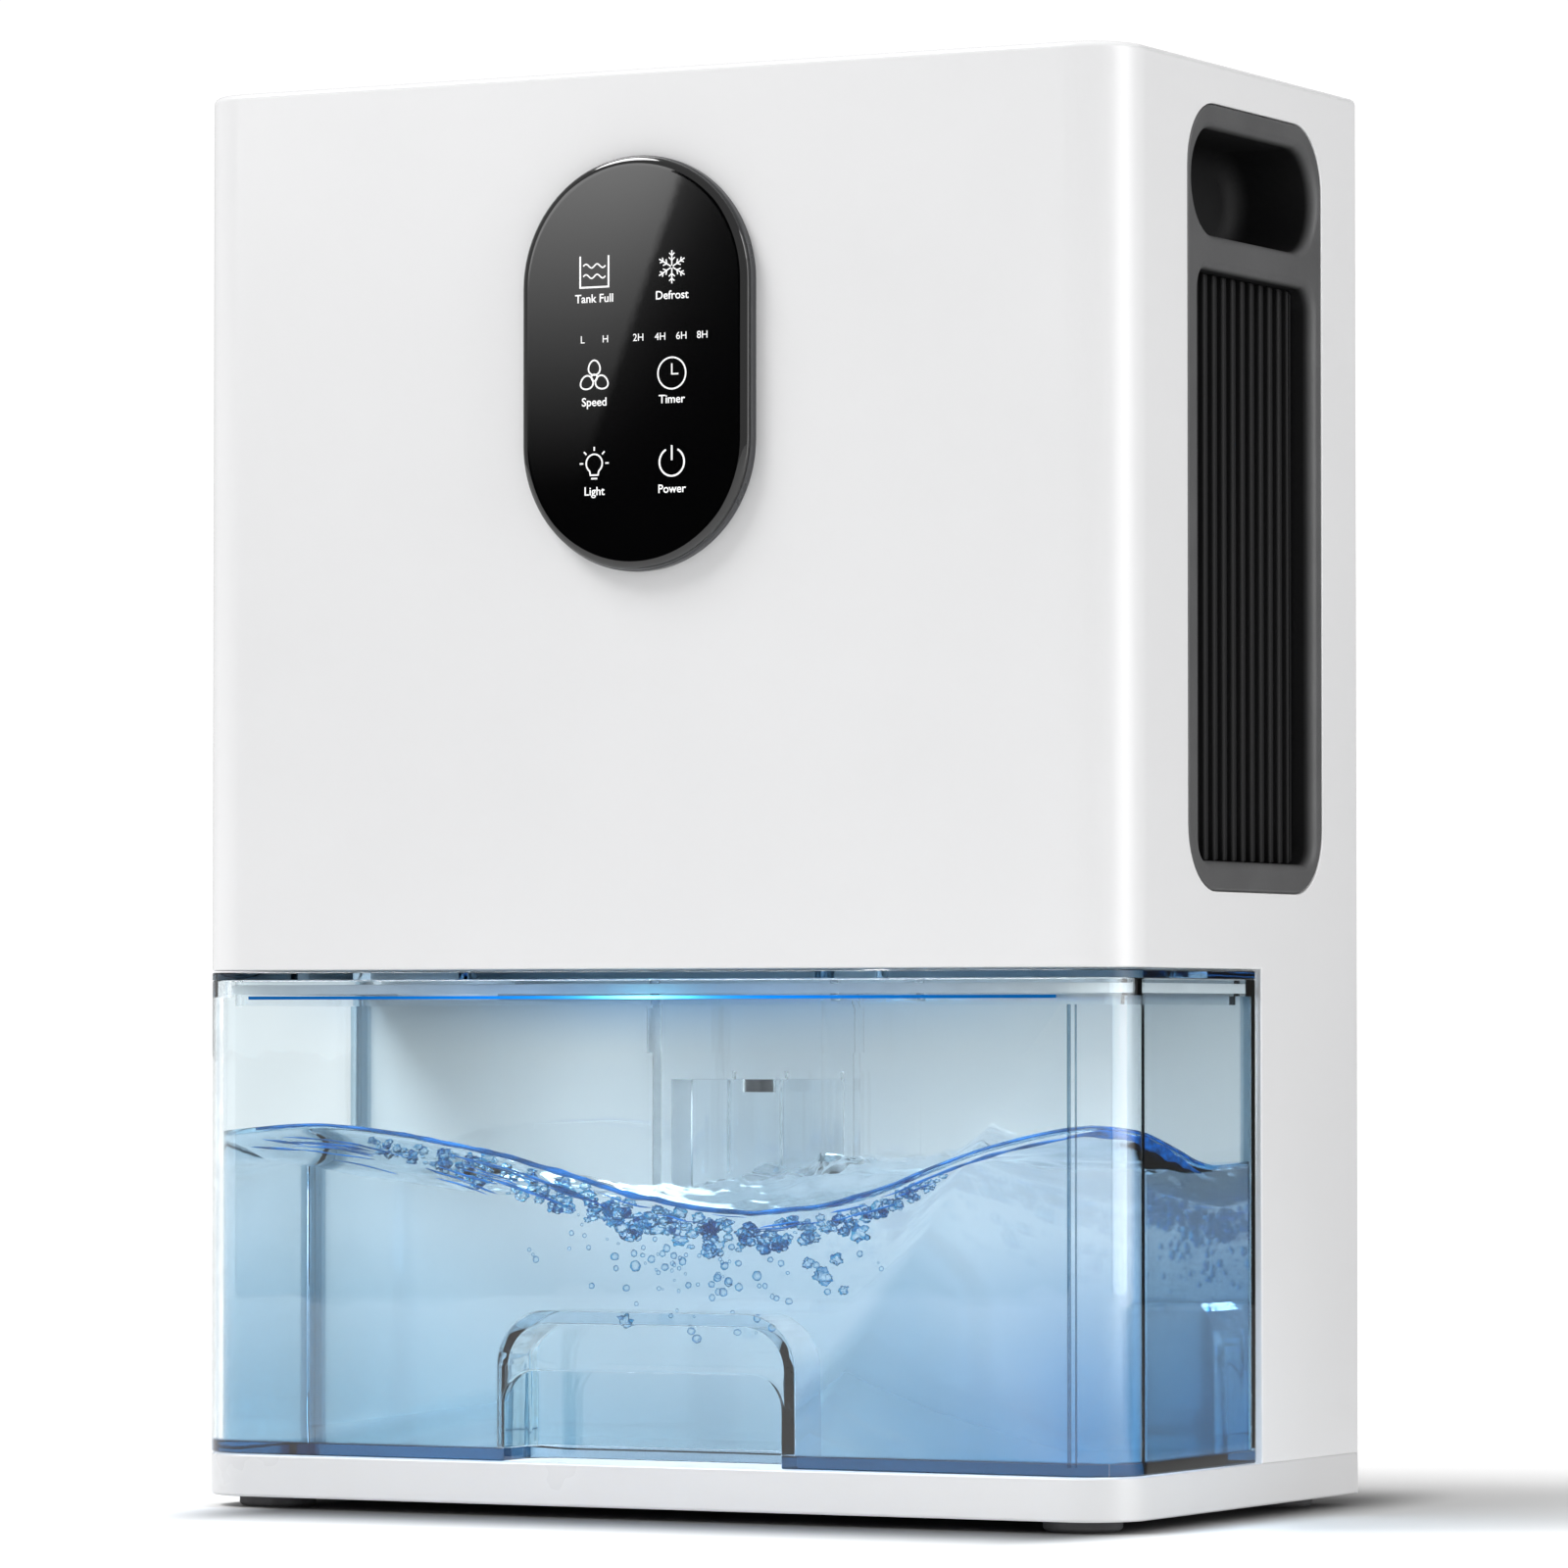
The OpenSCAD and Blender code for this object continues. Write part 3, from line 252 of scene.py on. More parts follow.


# Painted shade: dark blue rims on the bubbles.
def bubble_rim_painted_shade(tree):
    """Clear where a bubble faces the photo's camera, and dark blue where it turns away from there.

    The direction is a constant, so the rims are tuned to the photo's view and stay put in other views.
    """
    normal = put(tree, "NewGeometry").outputs["Normal"]
    along = put(tree, "VectorMath", {0: normal, 1: TOWARDS_PHOTO_CAMERA}, operation="DOT_PRODUCT")
    rim = ramped(tree, math_node(tree, "ABSOLUTE", along.outputs["Value"]), 0.93, 0.50)
    return mixed(tree, rim, rgb((0.93, 0.98, 1.0)), rgb((0.008, 0.29, 0.62)))


BRUSHED = (1, 1, 40)
MATERIALS = {
    "white_housing": surface("white_housing", (0.80, 0.80, 0.806), 0.24, 0.006, 0.03, 60, 0.6, 0.02),
    "white_base": surface("white_base", (0.68, 0.68, 0.69), 0.5, 0.02, 0.06, 40, 0.5, 0.12),
    "white_liner": surface("white_liner", (0.84, 0.84, 0.835), 0.5, 0.01, 0.05, 40, 0.5, 0.012),
    "foot_rubber": surface("foot_rubber", (0.10, 0.10, 0.105), 0.75, 0.1, 0.1, 6, 0.4, 0.2),
    # The insert's pocket and louvre recess are darkened with painted shade.
    "black_insert": paint_recess_shade(surface("black_insert", (0.098, 0.0985, 0.100), 0.42, 0.06, 0.05, 20, 0.45,
                                          0.10, specular=0.28), (0.0025, 0.0025, 0.003)),
    "panel_bezel": surface("panel_bezel", (0.045, 0.046, 0.05), 0.30, 0.05, 0.04, 20, 0.5, 0.05),
    "panel_lens": surface("panel_lens", (0.001, 0.001, 0.0012), 0.012, 0.1, 0.006, 30, 3.0, 0.001, coat=0.6),
    "circuit_board": surface("circuit_board", (0.010, 0.085, 0.035), 0.35, 0.25, 0.1, 5, 1.2, 0.15),
    "white_board": surface("white_board", (0.78, 0.79, 0.78), 0.35, 0.03, 0.1, 5, 1.2, 0.1),
    "gold_spring": surface("gold_spring", (0.72, 0.50, 0.18), 0.25, 0.1, 0.08, 2, 0.3, 0.05, metal=1.0),
    "led_ivory": surface("led_ivory", (0.85, 0.80, 0.62), 0.2, 0.03, 0.05, 2, 0.3, 0.02, emit=0.4),
    "light_blue_led": surface("light_blue_led", (0.30, 0.65, 1.0), 0.2, 0.03, 0.05, 2, 0.3, 0.02, emit=2.0),
    "black_fan": surface("black_fan", (0.018, 0.018, 0.019), 0.45, 0.1, 0.08, 12, 0.5, 0.1),
    "dark_grey_fan": surface("dark_grey_fan", (0.035, 0.035, 0.038), 0.38, 0.1, 0.08, 12, 0.5, 0.06),
    "steel": surface("steel", (0.58, 0.58, 0.60), 0.32, 0.06, 0.1, 3, 0.3, 0.1, metal=1.0),
    "ferrite": surface("ferrite", (0.035, 0.035, 0.037), 0.55, 0.1, 0.1, 3, 0.3, 0.2),
    "copper_winding": surface("copper_winding", (0.60, 0.22, 0.07), 0.35, 0.12, 0.08, 2, 0.25, 0.5,
                              stretch=(1, 4, 1), metal=0.9),
    "bronze": surface("bronze", (0.50, 0.30, 0.12), 0.4, 0.1, 0.08, 2, 0.2, 0.3, metal=1.0),
    "aluminium": surface("aluminium", (0.74, 0.75, 0.77), 0.35, 0.05, 0.1, 18, 0.6, 0.12,
                         stretch=BRUSHED, metal=1.0),
    "white_ceramic": surface("white_ceramic", (0.82, 0.82, 0.78), 0.4, 0.03, 0.08, 8, 0.3, 0.08),
    "grey_foam": surface("grey_foam", (0.035, 0.035, 0.038), 0.9, 0.15, 0.05, 4, 0.9, 0.8),
    "black_epoxy": surface("black_epoxy", (0.012, 0.012, 0.012), 0.2, 0.1, 0.08, 4, 1.0, 0.1),
    "silicone": surface("silicone", (0.72, 0.75, 0.77), 0.45, 0.04, 0.08, 8, 0.6, 0.08),
    "white_silicone": surface("white_silicone", (0.80, 0.83, 0.85), 0.42, 0.04, 0.08, 8, 0.6, 0.08),
    "component_mix": surface("component_mix", (0.05, 0.05, 0.055), 0.4, 0.1, 0.1, 5, 0.5, 0.1, islands=[
        (0.02, 0.02, 0.022), (0.03, 0.06, 0.16), (0.45, 0.46, 0.48), (0.5, 0.45, 0.3), (0.62, 0.30, 0.03)]),
    "clear_reed": clear("clear_reed", (0.75, 0.95, 0.85), (0.5, 0.9, 0.7), 40, 0.03),
    "light_guide": clear("light_guide", (0.9, 0.97, 1.0), (0.5, 0.8, 1.0), 20, 0.25),
    "clear_blue_tank": clear("clear_blue_tank", (0.93, 0.984, 0.997), (0.50, 0.68, 0.80), 22, 0.012, 1.40,
                             0.02, (0.97, 0.98, 0.99), tank_painted_shade_and_glow, coat=0.8),
    "clear_blue_lid": clear("clear_blue_lid", (0.985, 0.992, 0.996), (0.50, 0.68, 0.80), 26, 0.03, 1.40,
                            0.02, (0.97, 0.98, 0.99)),
    "clear_cage": clear("clear_cage", (0.985, 0.99, 0.995), (0.6, 0.8, 0.9), 8, 0.08, 1.12),
    "white_float": clear("white_float", (0.97, 0.98, 0.99), (0.6, 0.8, 0.9), 10, 0.12, 1.15),
    "red_lead": surface("red_lead", (0.45, 0.012, 0.010), 0.4, 0.05, 0.05, 6, 0.5, 0.05),
    "black_lead": surface("black_lead", (0.018, 0.018, 0.02), 0.4, 0.08, 0.05, 6, 0.5, 0.05),
    "grey_lead": surface("grey_lead", (0.32, 0.33, 0.34), 0.45, 0.05, 0.05, 6, 0.5, 0.08),
}
# The water's colour by place is painted shade.
WATER = clear("water", (1, 1, 1), (0.35, 0.66, 0.90), 1.6, 0.0, 1.333, 0.0, (0.97, 0.985, 1.0), water_painted_shade)
BUBBLE = clear("bubble", (1, 1, 1), (1, 1, 1), 0, 0.02, 1.06, 0.0, (0.75, 0.88, 1.0), bubble_rim_painted_shade)
# Dark blue strips of painted shade along the water line, with a faint painted glow.
WATER_LINE_SHADE = surface("water_line_painted_shade", (0.003, 0.11, 0.36), 0.5, 0.8, 0.08, 3, 1.5, 0.08, stretch=(0.22, 1, 1.6),
                 specular=0.1, emit=0.4)
# Painted shade for the dark lines at the tank's rounded corner.
CORNER_SHADE = clear("corner_painted_shade", (0.30, 0.43, 0.52), (1, 1, 1), 0, 0.05, 1.40)
# White print with a faint painted glow.
LEGEND_PAINTED_GLOW = surface("legend_white_painted_glow", (0.9, 0.9, 0.9), 0.5, 0.02, 0.05, 3, 0.3, 0.01, emit=0.3)

slot_of = {row["node"]: row["material_slot"] for row in frame["record"]["subparts"]}
for name, cad in nodes.items():
    for holder in cad.material_slots:
        holder.material = MATERIALS[slot_of[name]]


# ---------------------------------------------------------------- mesh helpers
def linked(name, data):
    """New object in the scene that shows this data."""
    made = bpy.data.objects.new(name, data)
    bpy.context.scene.collection.objects.link(made)
    return made


def mesh_object(name, bm, material=None):
    mesh = bpy.data.meshes.new(name)
    bm.to_mesh(mesh)
    bm.free()
    if material:
        mesh.materials.append(material)
    return linked(name, mesh)


def add_mesh(name, bm, material, body):
    """Mesh that rides on a body, with the material it is given."""
    piece = mesh_object(name, bm, material)
    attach(piece, body)
    return piece


def even_normals(piece):
    """Keeps flat faces looking flat beside rounded edges."""
    normals = piece.modifiers.new("normals", "WEIGHTED_NORMAL")
    normals.keep_sharp = True


def evaluated_mesh(shown):
    """The object's mesh, with its modifiers applied."""
    return bpy.data.meshes.new_from_object(shown.evaluated_get(bpy.context.evaluated_depsgraph_get()))


def smooth_faces(bm, sharp_deg=30):
    for face in bm.faces:
        face.smooth = True
    for edge in bm.edges:
        edge.smooth = len(edge.link_faces) == 2 and edge.calc_face_angle(0) < math.radians(sharp_deg)


def refined(node, body, width_at, widest, segments=3, material=None):
    """Stands for a CAD node, with its edges rounded. width_at(edge, middle) gives each edge's width in mm."""
    bm = bmesh.new()
    bm.from_mesh(nodes[node].data)
    bmesh.ops.remove_doubles(bm, verts=bm.verts, dist=2e-6)
    bmesh.ops.dissolve_limit(bm, angle_limit=math.radians(0.6), verts=bm.verts, edges=bm.edges)
    weight = bm.edges.layers.float.new("bevel_weight_edge")
    for face in bm.faces:
        face.smooth = True
    for edge in bm.edges:
        if len(edge.link_faces) != 2 or edge.calc_face_angle(0) < math.radians(25):
            continue
        middle = (edge.verts[0].co + edge.verts[1].co) / 2 / MM
        width = width_at(edge, middle)
        edge[weight] = width / widest
        edge.smooth = width > 0
    piece = add_mesh(node + "_shown", bm, material or MATERIALS[slot_of[node]], body)
    bevel = piece.modifiers.new("edges", "BEVEL")
    bevel.limit_method = "WEIGHT"
    bevel.width = widest * MM
    bevel.segments = segments
    bevel.use_clamp_overlap = False
    bevel.miter_outer = "MITER_SHARP"
    even_normals(piece)
    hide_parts(node)


def near(a, b, by=0.15):
    return abs(a - b) < by


def facing(edge, axis, sign):
    """True if one of the edge's faces looks along sign * axis."""
    return any(face.normal[axis] * sign > 0.999 for face in edge.link_faces)


# ---------------------------------------------------------------- housing
def shell_edges(edge, mid):
    outer = near(abs(mid.x), SIDE_X) or mid.y < SHELL_LO.y + CORNER_R or near(mid.y, SHELL_HI.y)
    if near(mid.z, SHELL_HI.z):
        return 1.6
    if near(mid.z, CEILING_Z):
        return 0.5 if outer else 0
    if near(abs(mid.x), SIDE_X) and mid.z > CEILING_Z and mid.y < SHELL_HI.y - 3:
        return 0.35
    if near(abs(mid.x), SIDE_X) and near(mid.y, BAY_BACK_Y):
        return 0.4
    return 0


def tray_edges(edge, mid):
    outer = mid.y < TRAY_LO.y + 15 or near(abs(mid.x), SIDE_X) or near(mid.y, TRAY_HI.y)
    if near(mid.z, TRAY_LO.z) and outer:
        return 0.7
    if near(mid.z, TRAY_HI.z) and mid.y < BAY_BACK_Y and not near(mid.y, BAY_BACK_Y):
        return 0.45
    return 0


refined("main_shell", "housing", shell_edges, 1.6, 4)
# The base tray takes the housing's white painted darker: a shaded copy of one material, painted shade.
refined("base_tray", "housing", tray_edges, 0.7,
        material=surface("white_housing_painted_darker", (0.67, 0.67, 0.675), 0.3, 0.006, 0.03, 60, 0.6, 0.02))

INSERT_W, INSERT_H, INSERT_R = 75, 179.3, 15
INSERT_Y, INSERT_Z = SHELL_LO.y + 74, 233.15
GRIP_W, GRIP_H, GRIP_DEPTH = 68.5, 24.3, 22.0
GRIP_Z = 305.25
GRIP_FLOOR_R = 5
WINDOW_W, WINDOW_H, WINDOW_R = 64.0, 134.7, 5.0
WINDOW_Y, WINDOW_Z = 10.5, 217.65
WINDOW_DEPTH = 12
FACE = 0.02
FLANGE = 3
SKIN = 1.9


def rounded(width, height, radius, centre=(0, 0), grow=0.0, steps=12):
    """Rounded rectangle or stadium, its outline moved outwards by grow."""
    r = min(radius, width / 2 - 0.05, height / 2 - 0.05)
    points = []
    for sx, sy, start in ((1, 1, 0), (-1, 1, 90), (-1, -1, 180), (1, -1, 270)):
        for i in range(steps + 1):
            turn = math.radians(start + 90 * i / steps)
            points.append((centre[0] + sx * (width / 2 - r) + (r + grow) * math.cos(turn),
                           centre[1] + sy * (height / 2 - r) + (r + grow) * math.sin(turn)))
    return points


def insert_piece(side, sign):
    """Insert with a rounded rim at its outline, its hand pocket and its louvre window."""
    bm = bmesh.new()

    def ring(shape, grow, depth):
        return [bm.verts.new(Vector((sign * (SIDE_X - depth), u, v)) * MM) for u, v in shape(grow)]

    def wall(rings):
        for low, high in zip(rings, rings[1:]):
            for i in range(len(low)):
                j = (i + 1) % len(low)
                bm.faces.new((low[i], low[j], high[j], high[i]))

    def fill(*loops):
        edges = []
        for loop in loops:
            for i in range(len(loop)):
                a, b = loop[i], loop[(i + 1) % len(loop)]
                edges.append(bm.edges.get((a, b)) or bm.edges.new((a, b)))
        bmesh.ops.triangle_fill(bm, edges=edges, use_beauty=True)

    def outline(grow):
        return rounded(INSERT_W, INSERT_H, INSERT_R, (INSERT_Y, INSERT_Z), grow)

    def grip(grow):
        return rounded(GRIP_W, GRIP_H, GRIP_H, (INSERT_Y, GRIP_Z), grow)

    def window(grow):
        return rounded(WINDOW_W, WINDOW_H, WINDOW_R, (WINDOW_Y, WINDOW_Z), grow)

    def arc(shape, start_grow, start_depth, grow_by, depth_by, convex, steps=6):
        made = []
        for i in range(1, steps + 1):
            turn = math.pi / 2 * i / steps
            g, d = (math.sin(turn), 1 - math.cos(turn)) if convex else (1 - math.cos(turn), math.sin(turn))
            made.append(ring(shape, start_grow + grow_by * g, start_depth + depth_by * d))
        return made

    outer = [ring(outline, -0.7, FACE)] + arc(outline, -0.7, FACE, 0.7, 0.7, True)
    outer += [ring(outline, 0, FLANGE)]
    wall(outer)
    deep = GRIP_DEPTH - GRIP_FLOOR_R
    cup = [ring(grip, 2.0, FACE)] + arc(grip, 2.0, FACE, -2.0, 2.6, True)
    cup += [ring(grip, 0, deep)] + arc(grip, 0, deep, -GRIP_FLOOR_R, GRIP_FLOOR_R, False)
    wall(cup)
    fill(cup[-1])
    frame_rings = [ring(window, 2.2, FACE)] + arc(window, 2.2, FACE, -2.2, 2.2, True)
    for grow, depth in ((0, WINDOW_DEPTH), (SKIN, WINDOW_DEPTH), (SKIN, FLANGE)):
        frame_rings.append(ring(window, grow, depth))
    wall(frame_rings)
    back = [ring(grip, SKIN, FLANGE), ring(grip, SKIN, GRIP_DEPTH + SKIN)]
    wall(back)
    fill(back[-1])
    fill(outer[0], cup[0], frame_rings[0])
    fill(outer[-1], back[0], frame_rings[-1])
    bmesh.ops.recalc_face_normals(bm, faces=bm.faces)
    smooth_faces(bm, 40)
    node = "side_insert_" + side
    piece = add_mesh(node + "_shown", bm, MATERIALS[slot_of[node]], "housing")
    even_normals(piece)
    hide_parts(node)


def louvre_edges(edge, mid):
    return 0.7 if near(abs(mid.x), SIDE_X - 4.7, 0.3) else 0


for side, sign in (("right", 1), ("left", -1)):
    insert_piece(side, sign)
    refined("louvre_" + side, "housing", louvre_edges, 0.7, 2)


# ---------------------------------------------------------------- control panel
def stadium(width, straight, count=48):
    """Upright stadium outline, counter-clockwise, as (across, up)."""
    points = []
    for start, middle in ((0, straight / 2), (math.pi, -straight / 2)):
        for i in range(count):
            turn = start + math.pi * i / (count - 1)
            points.append((width / 2 * math.cos(turn), middle + width / 2 * math.sin(turn)))
    return points


def loft(bm, rings):
    """Closed solid through rings of equal length. The first and last ring get a cap."""
    rows = [[bm.verts.new(Vector(p) * MM) for p in ring] for ring in rings]
    count = len(rows[0])
    for low, high in zip(rows, rows[1:]):
        for i in range(count):
            j = (i + 1) % count
            bm.faces.new((low[i], low[j], high[j], high[i]))
    bm.faces.new(list(reversed(rows[0])))
    bm.faces.new(rows[-1])
    bmesh.ops.recalc_face_normals(bm, faces=bm.faces)


PANEL_STRAIGHT = 36.0
LENS_W = LENS_HI.x - LENS_LO.x
LENS_FOOT_W = 56.2
LENS_FRONT = LENS_LO.y + 0.04
LENS_STEP_Y = -66.72
LENS_CURVE_Y = -67.1
LENS_CURVE = 2.3


def lens_piece():
    """Glossy lens with a foot that sits in the bezel and a rounded front edge."""
    profile = [(LENS_HI.y, LENS_FOOT_W), (LENS_STEP_Y, LENS_FOOT_W), (LENS_STEP_Y, LENS_W - 0.1),
               (LENS_CURVE_Y, LENS_W)]
    steps = 7
    for i in range(steps + 1):
        turn = math.pi / 2 * i / steps
        profile.append((LENS_CURVE_Y + (LENS_FRONT - LENS_CURVE_Y) * math.sin(turn),
                        LENS_W - 2 * LENS_CURVE * (1 - math.cos(turn))))
    bm = bmesh.new()
    loft(bm, [[(u, y, PANEL_Z + v) for u, v in stadium(w, PANEL_STRAIGHT)] for y, w in profile])
    smooth_faces(bm, 40)
    piece = add_mesh("panel_lens_shown", bm, MATERIALS["panel_lens"], "housing")
    even_normals(piece)
    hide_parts("panel_lens")


def bezel_edges(edge, mid):
    return 0.5 if mid.y < -66.5 and facing(edge, 1, -1) else 0


lens_piece()
refined("panel_bezel", "housing", bezel_edges, 0.5)


class Legend:
    """Collects thin raised strokes on the lens. Points are (across, up) from the panel's centre, in mm."""

    def __init__(self):
        self.bm = bmesh.new()

    def spot(self, point, depth):
        return self.bm.verts.new(Vector((point[0], LENS_LO.y + 0.04 * depth, PANEL_Z + point[1])) * MM)

    def stroke(self, points, width, closed=False):
        """Ribbon of even width through the points, as a closed thin solid."""
        left, right = [], []
        total = len(points)
        for i, p in enumerate(points):
            before = points[i - 1] if closed or i > 0 else None
            after = points[(i + 1) % total] if closed or i < total - 1 else None
            into = (Vector(p) - Vector(before)).normalized() if before else None
            out = (Vector(after) - Vector(p)).normalized() if after else None
            along = (into or out) + (out or into)
            along.normalize()
            cosine = max(0.5, along.dot(out or into))
            offset = Vector((-along.y, along.x)) * width / 2 / cosine
            left.append(Vector(p) + offset)
            right.append(Vector(p) - offset)
        rows = [[self.spot(q, d) for q in side] for side in (left, right) for d in (0, 1)]
        lf, lb, rf, rb = rows
        for i in range(total if closed else total - 1):
            j = (i + 1) % total
            for a, b in ((lf, rf), (rf, rb), (rb, lb), (lb, lf)):
                self.bm.faces.new((a[i], b[i], b[j], a[j]))
        if not closed:
            for i in (0, total - 1):
                self.bm.faces.new((lf[i], rf[i], rb[i], lb[i]))

    def ring(self, x, y, radius, width, start=0, stop=360, count=40):
        whole = stop - start >= 360
        steps = count if whole else count + 1
        turns = [math.radians(start + (stop - start) * i / count) for i in range(steps)]
        self.stroke([(x + radius * math.cos(t), y + radius * math.sin(t)) for t in turns], width, whole)

    def words(self, text, x, y, cap, bold=0.0):
        """Generic lettering with capitals cap high, centred on x with its feet on y."""
        curve = bpy.data.curves.new("words", "FONT")
        curve.body = text
        curve.align_x = "CENTER"
        curve.size = cap / 0.73
        curve.offset = bold
        curve.extrude = 0.5
        curve.resolution_u = 4
        holder = linked("words", curve)
        mesh = evaluated_mesh(holder)
        bpy.data.objects.remove(holder)
        for vert in mesh.vertices:
            u, v, depth = vert.co
            vert.co = Vector((x + u, LENS_LO.y + 0.02 - 0.04 * depth, PANEL_Z + y + v)) * MM
        self.bm.from_mesh(mesh)
        bpy.data.meshes.remove(mesh)

    def done(self):
        bmesh.ops.remove_doubles(self.bm, verts=self.bm.verts, dist=1e-8)
        bmesh.ops.recalc_face_normals(self.bm, faces=self.bm.faces)
        add_mesh("panel_legend", self.bm, LEGEND_PAINTED_GLOW, "housing")


def turned(points, degrees, x, y):
    c, s = math.cos(math.radians(degrees)), math.sin(math.radians(degrees))
    return [(x + c * u - s * v, y + s * u + c * v) for u, v in points]


LEFT, RIGHT = -10.1, 10.1
TOP_ROW, MIDDLE_ROW, LOW_ROW = 21.3, -2.8, -23.1
BOLD, THIN, FINE = 0.42, 0.36, 0.32


def tank_symbol(art, x, y):
    art.stroke([(x + u, y + v) for u, v in ((-3.7, 3.6), (-3.7, -3.6), (3.7, -3.6), (3.7, 3.6))], BOLD)
    for rise in (1.3, -1.1):
        art.stroke([(x - 2.9 + 5.8 * i / 24, y + rise + 0.45 * math.sin(4 * math.pi * i / 24))
                    for i in range(25)], FINE)


def snowflake(art, x, y):
    for arm in range(6):
        art.stroke(turned([(0, 0.3), (0, 3.8)], 60 * arm, x, y), 0.3)
        for reach, twig in ((1.5, 1.0), (2.6, 0.85)):
            vee = [(-twig * 0.8, reach + twig * 0.7), (0, reach), (twig * 0.8, reach + twig * 0.7)]
            art.stroke(turned(vee, 60 * arm, x, y), 0.26)


def fan_symbol(art, x, y):
    for blade in range(3):
        petal = []
        for i in range(24):
            turn = 2 * math.pi * i / 24
            across = 1.75 * math.sin(turn) * (0.86 + 0.14 * math.cos(turn))
            petal.append((across, 2.3 - 1.7 * math.cos(turn)))
        art.stroke(turned(petal, 120 * blade, x, y), THIN, True)
    art.ring(x, y, 0.75, FINE, count=20)


def clock(art, x, y):
    art.ring(x, y, 3.6, THIN)
    art.stroke([(x, y + 2.2), (x, y - 0.2), (x + 1.7, y - 0.2)], FINE)


def bulb(art, x, y):
    art.ring(x, y + 0.3, 2.1, THIN, -55, 235, 28)
    art.stroke([(x - 1.2, y - 1.4), (x - 1.0, y - 2.4), (x + 1.0, y - 2.4), (x + 1.2, y - 1.4)], THIN)
    art.stroke([(x - 0.8, y - 3.2), (x + 0.8, y - 3.2)], THIN)
    for ray in range(5):
        art.stroke(turned([(0, 2.9), (0, 3.8)], -90 + 45 * ray, x, y + 0.3), THIN)


def power_symbol(art, x, y):
    art.ring(x, y, 3.2, BOLD, 118, 422, 40)
    art.stroke([(x, y + 3.8), (x, y + 0.4)], BOLD)


def panel_legend():
    art = Legend()
    tank_symbol(art, LEFT, TOP_ROW)
    snowflake(art, RIGHT, TOP_ROW + 0.2)
    fan_symbol(art, LEFT, MIDDLE_ROW - 0.3)
    clock(art, RIGHT, MIDDLE_ROW)
    bulb(art, LEFT, LOW_ROW)
    power_symbol(art, RIGHT, LOW_ROW)
    for text, x, y in (("Tank Full", LEFT, 14.2), ("Defrost", RIGHT, 14.2), ("Speed", LEFT, -9.6),
                       ("Timer", RIGHT, -9.6), ("Light", LEFT, -30.1), ("Power", RIGHT, -30.1)):
        art.words(text, x, y, 2.0, 0.03)
    for text, x in (("L", -13.2), ("H", -7.2), ("2H", 1.4), ("4H", 7.1), ("6H", 12.6), ("8H", 18.0)):
        art.words(text, x, 4.9, 1.75)
    art.done()


panel_legend()


# ---------------------------------------------------------------- tank
LID_TOP = box_mm("tank_lid")[1].z
POCKET_HALF, POCKET_TOP, POCKET_R = 38.8, 47.4, 13
GLOW_HALF = 105.0
GLOW_Y, GLOW_Z = (-64.35, -63.9), (118.9, 119.65)


def tank_edges(edge, mid):
    if near(mid.z, TANK_HI.z) or near(mid.z, TANK_LO.z):
        return 0.5
    if facing(edge, 1, -1) and near(mid.y, TANK_LO.y):
        return 0.6
    in_pocket = mid.y < -44 and abs(mid.x) < 40 and TANK_LO.z + 1 < mid.z < 49
    return 0.3 if in_pocket else 0


def lid_edges(edge, mid):
    return 0.3 if near(mid.z, LID_TOP) else 0


refined("tank", "water_tank", tank_edges, 0.6)
refined("tank_lid", "water_tank", lid_edges, 0.3, 2)


def glow_bar():
    """Lit edge of the rim, under the night light. It is brightest in the middle."""
    bm = bmesh.new()
    steps = 60
    (y0, y1), (z0, z1) = GLOW_Y, GLOW_Z
    loft(bm, [[(x, y0, z0), (x, y0, z1), (x, y1, z1), (x, y1, z0)]
              for x in (-GLOW_HALF + 2 * GLOW_HALF * i / steps for i in range(steps + 1))])
    material, tree = new_tree("night_glow")
    x = object_axes(tree)["X"]

    def bell(width, gain):
        scaled = math_node(tree, "MULTIPLY", x, 1 / (width * MM))
        minus = math_node(tree, "MULTIPLY", math_node(tree, "MULTIPLY", scaled, scaled), -1.0)
        return math_node(tree, "MULTIPLY", math_node(tree, "EXPONENT", minus), gain)

    strength = math_node(tree, "ADD", math_node(tree, "ADD", bell(10, 3.2), bell(52, 1.3)), 0.35)
    colour = mixed(tree, bell(16, 1.0), rgb((0.01, 0.30, 1.0)), rgb((0.20, 0.80, 1.0)))
    lamp = put(tree, "Emission", {"Color": colour, "Strength": strength})
    put(tree, "OutputMaterial", {"Surface": lamp.outputs[0]})
    add_mesh("night_glow_bar", bm, material, "water_tank")


glow_bar()


# ---------------------------------------------------------------- water
WATER_FLOOR = 15.4
FRONT_LINE = [(-119, 86.4), (-84, 88.6), (-40, 82.6), (0, 72.6), (26, 69.6), (52, 72.8), (84, 83.4),
              (110, 89.2), (119, 88.8)]
REAR_LINE = [(-119, 81), (-84, 75.5), (-50, 73.5), (-20, 74), (10, 79.5), (40, 82), (70, 80.5), (100, 79.5),
             (119, 81)]


def through(points, x):
    """Smooth curve through a few (x, height) points."""
    for (x0, h0), (x1, h1) in zip(points, points[1:]):
        if x <= x1 or (x1, h1) == points[-1]:
            t = max(0.0, min(1.0, (x - x0) / (x1 - x0)))
            break
    i = points.index((x0, h0))
    before = points[max(0, i - 1)]
    after = points[min(len(points) - 1, i + 2)]
    m0 = (h1 - before[1]) / (x1 - before[0]) * (x1 - x0)
    m1 = (after[1] - h0) / (after[0] - x0) * (x1 - x0)
    return ((2 * t ** 3 - 3 * t ** 2 + 1) * h0 + (t ** 3 - 2 * t ** 2 + t) * m0
            + (-2 * t ** 3 + 3 * t ** 2) * h1 + (t ** 3 - t ** 2) * m1)


def ripple(x, y, size):
    """Gentle noise with waves of about size mm."""
    return noise.noise(Vector((x / size, y / size, 3.1)))


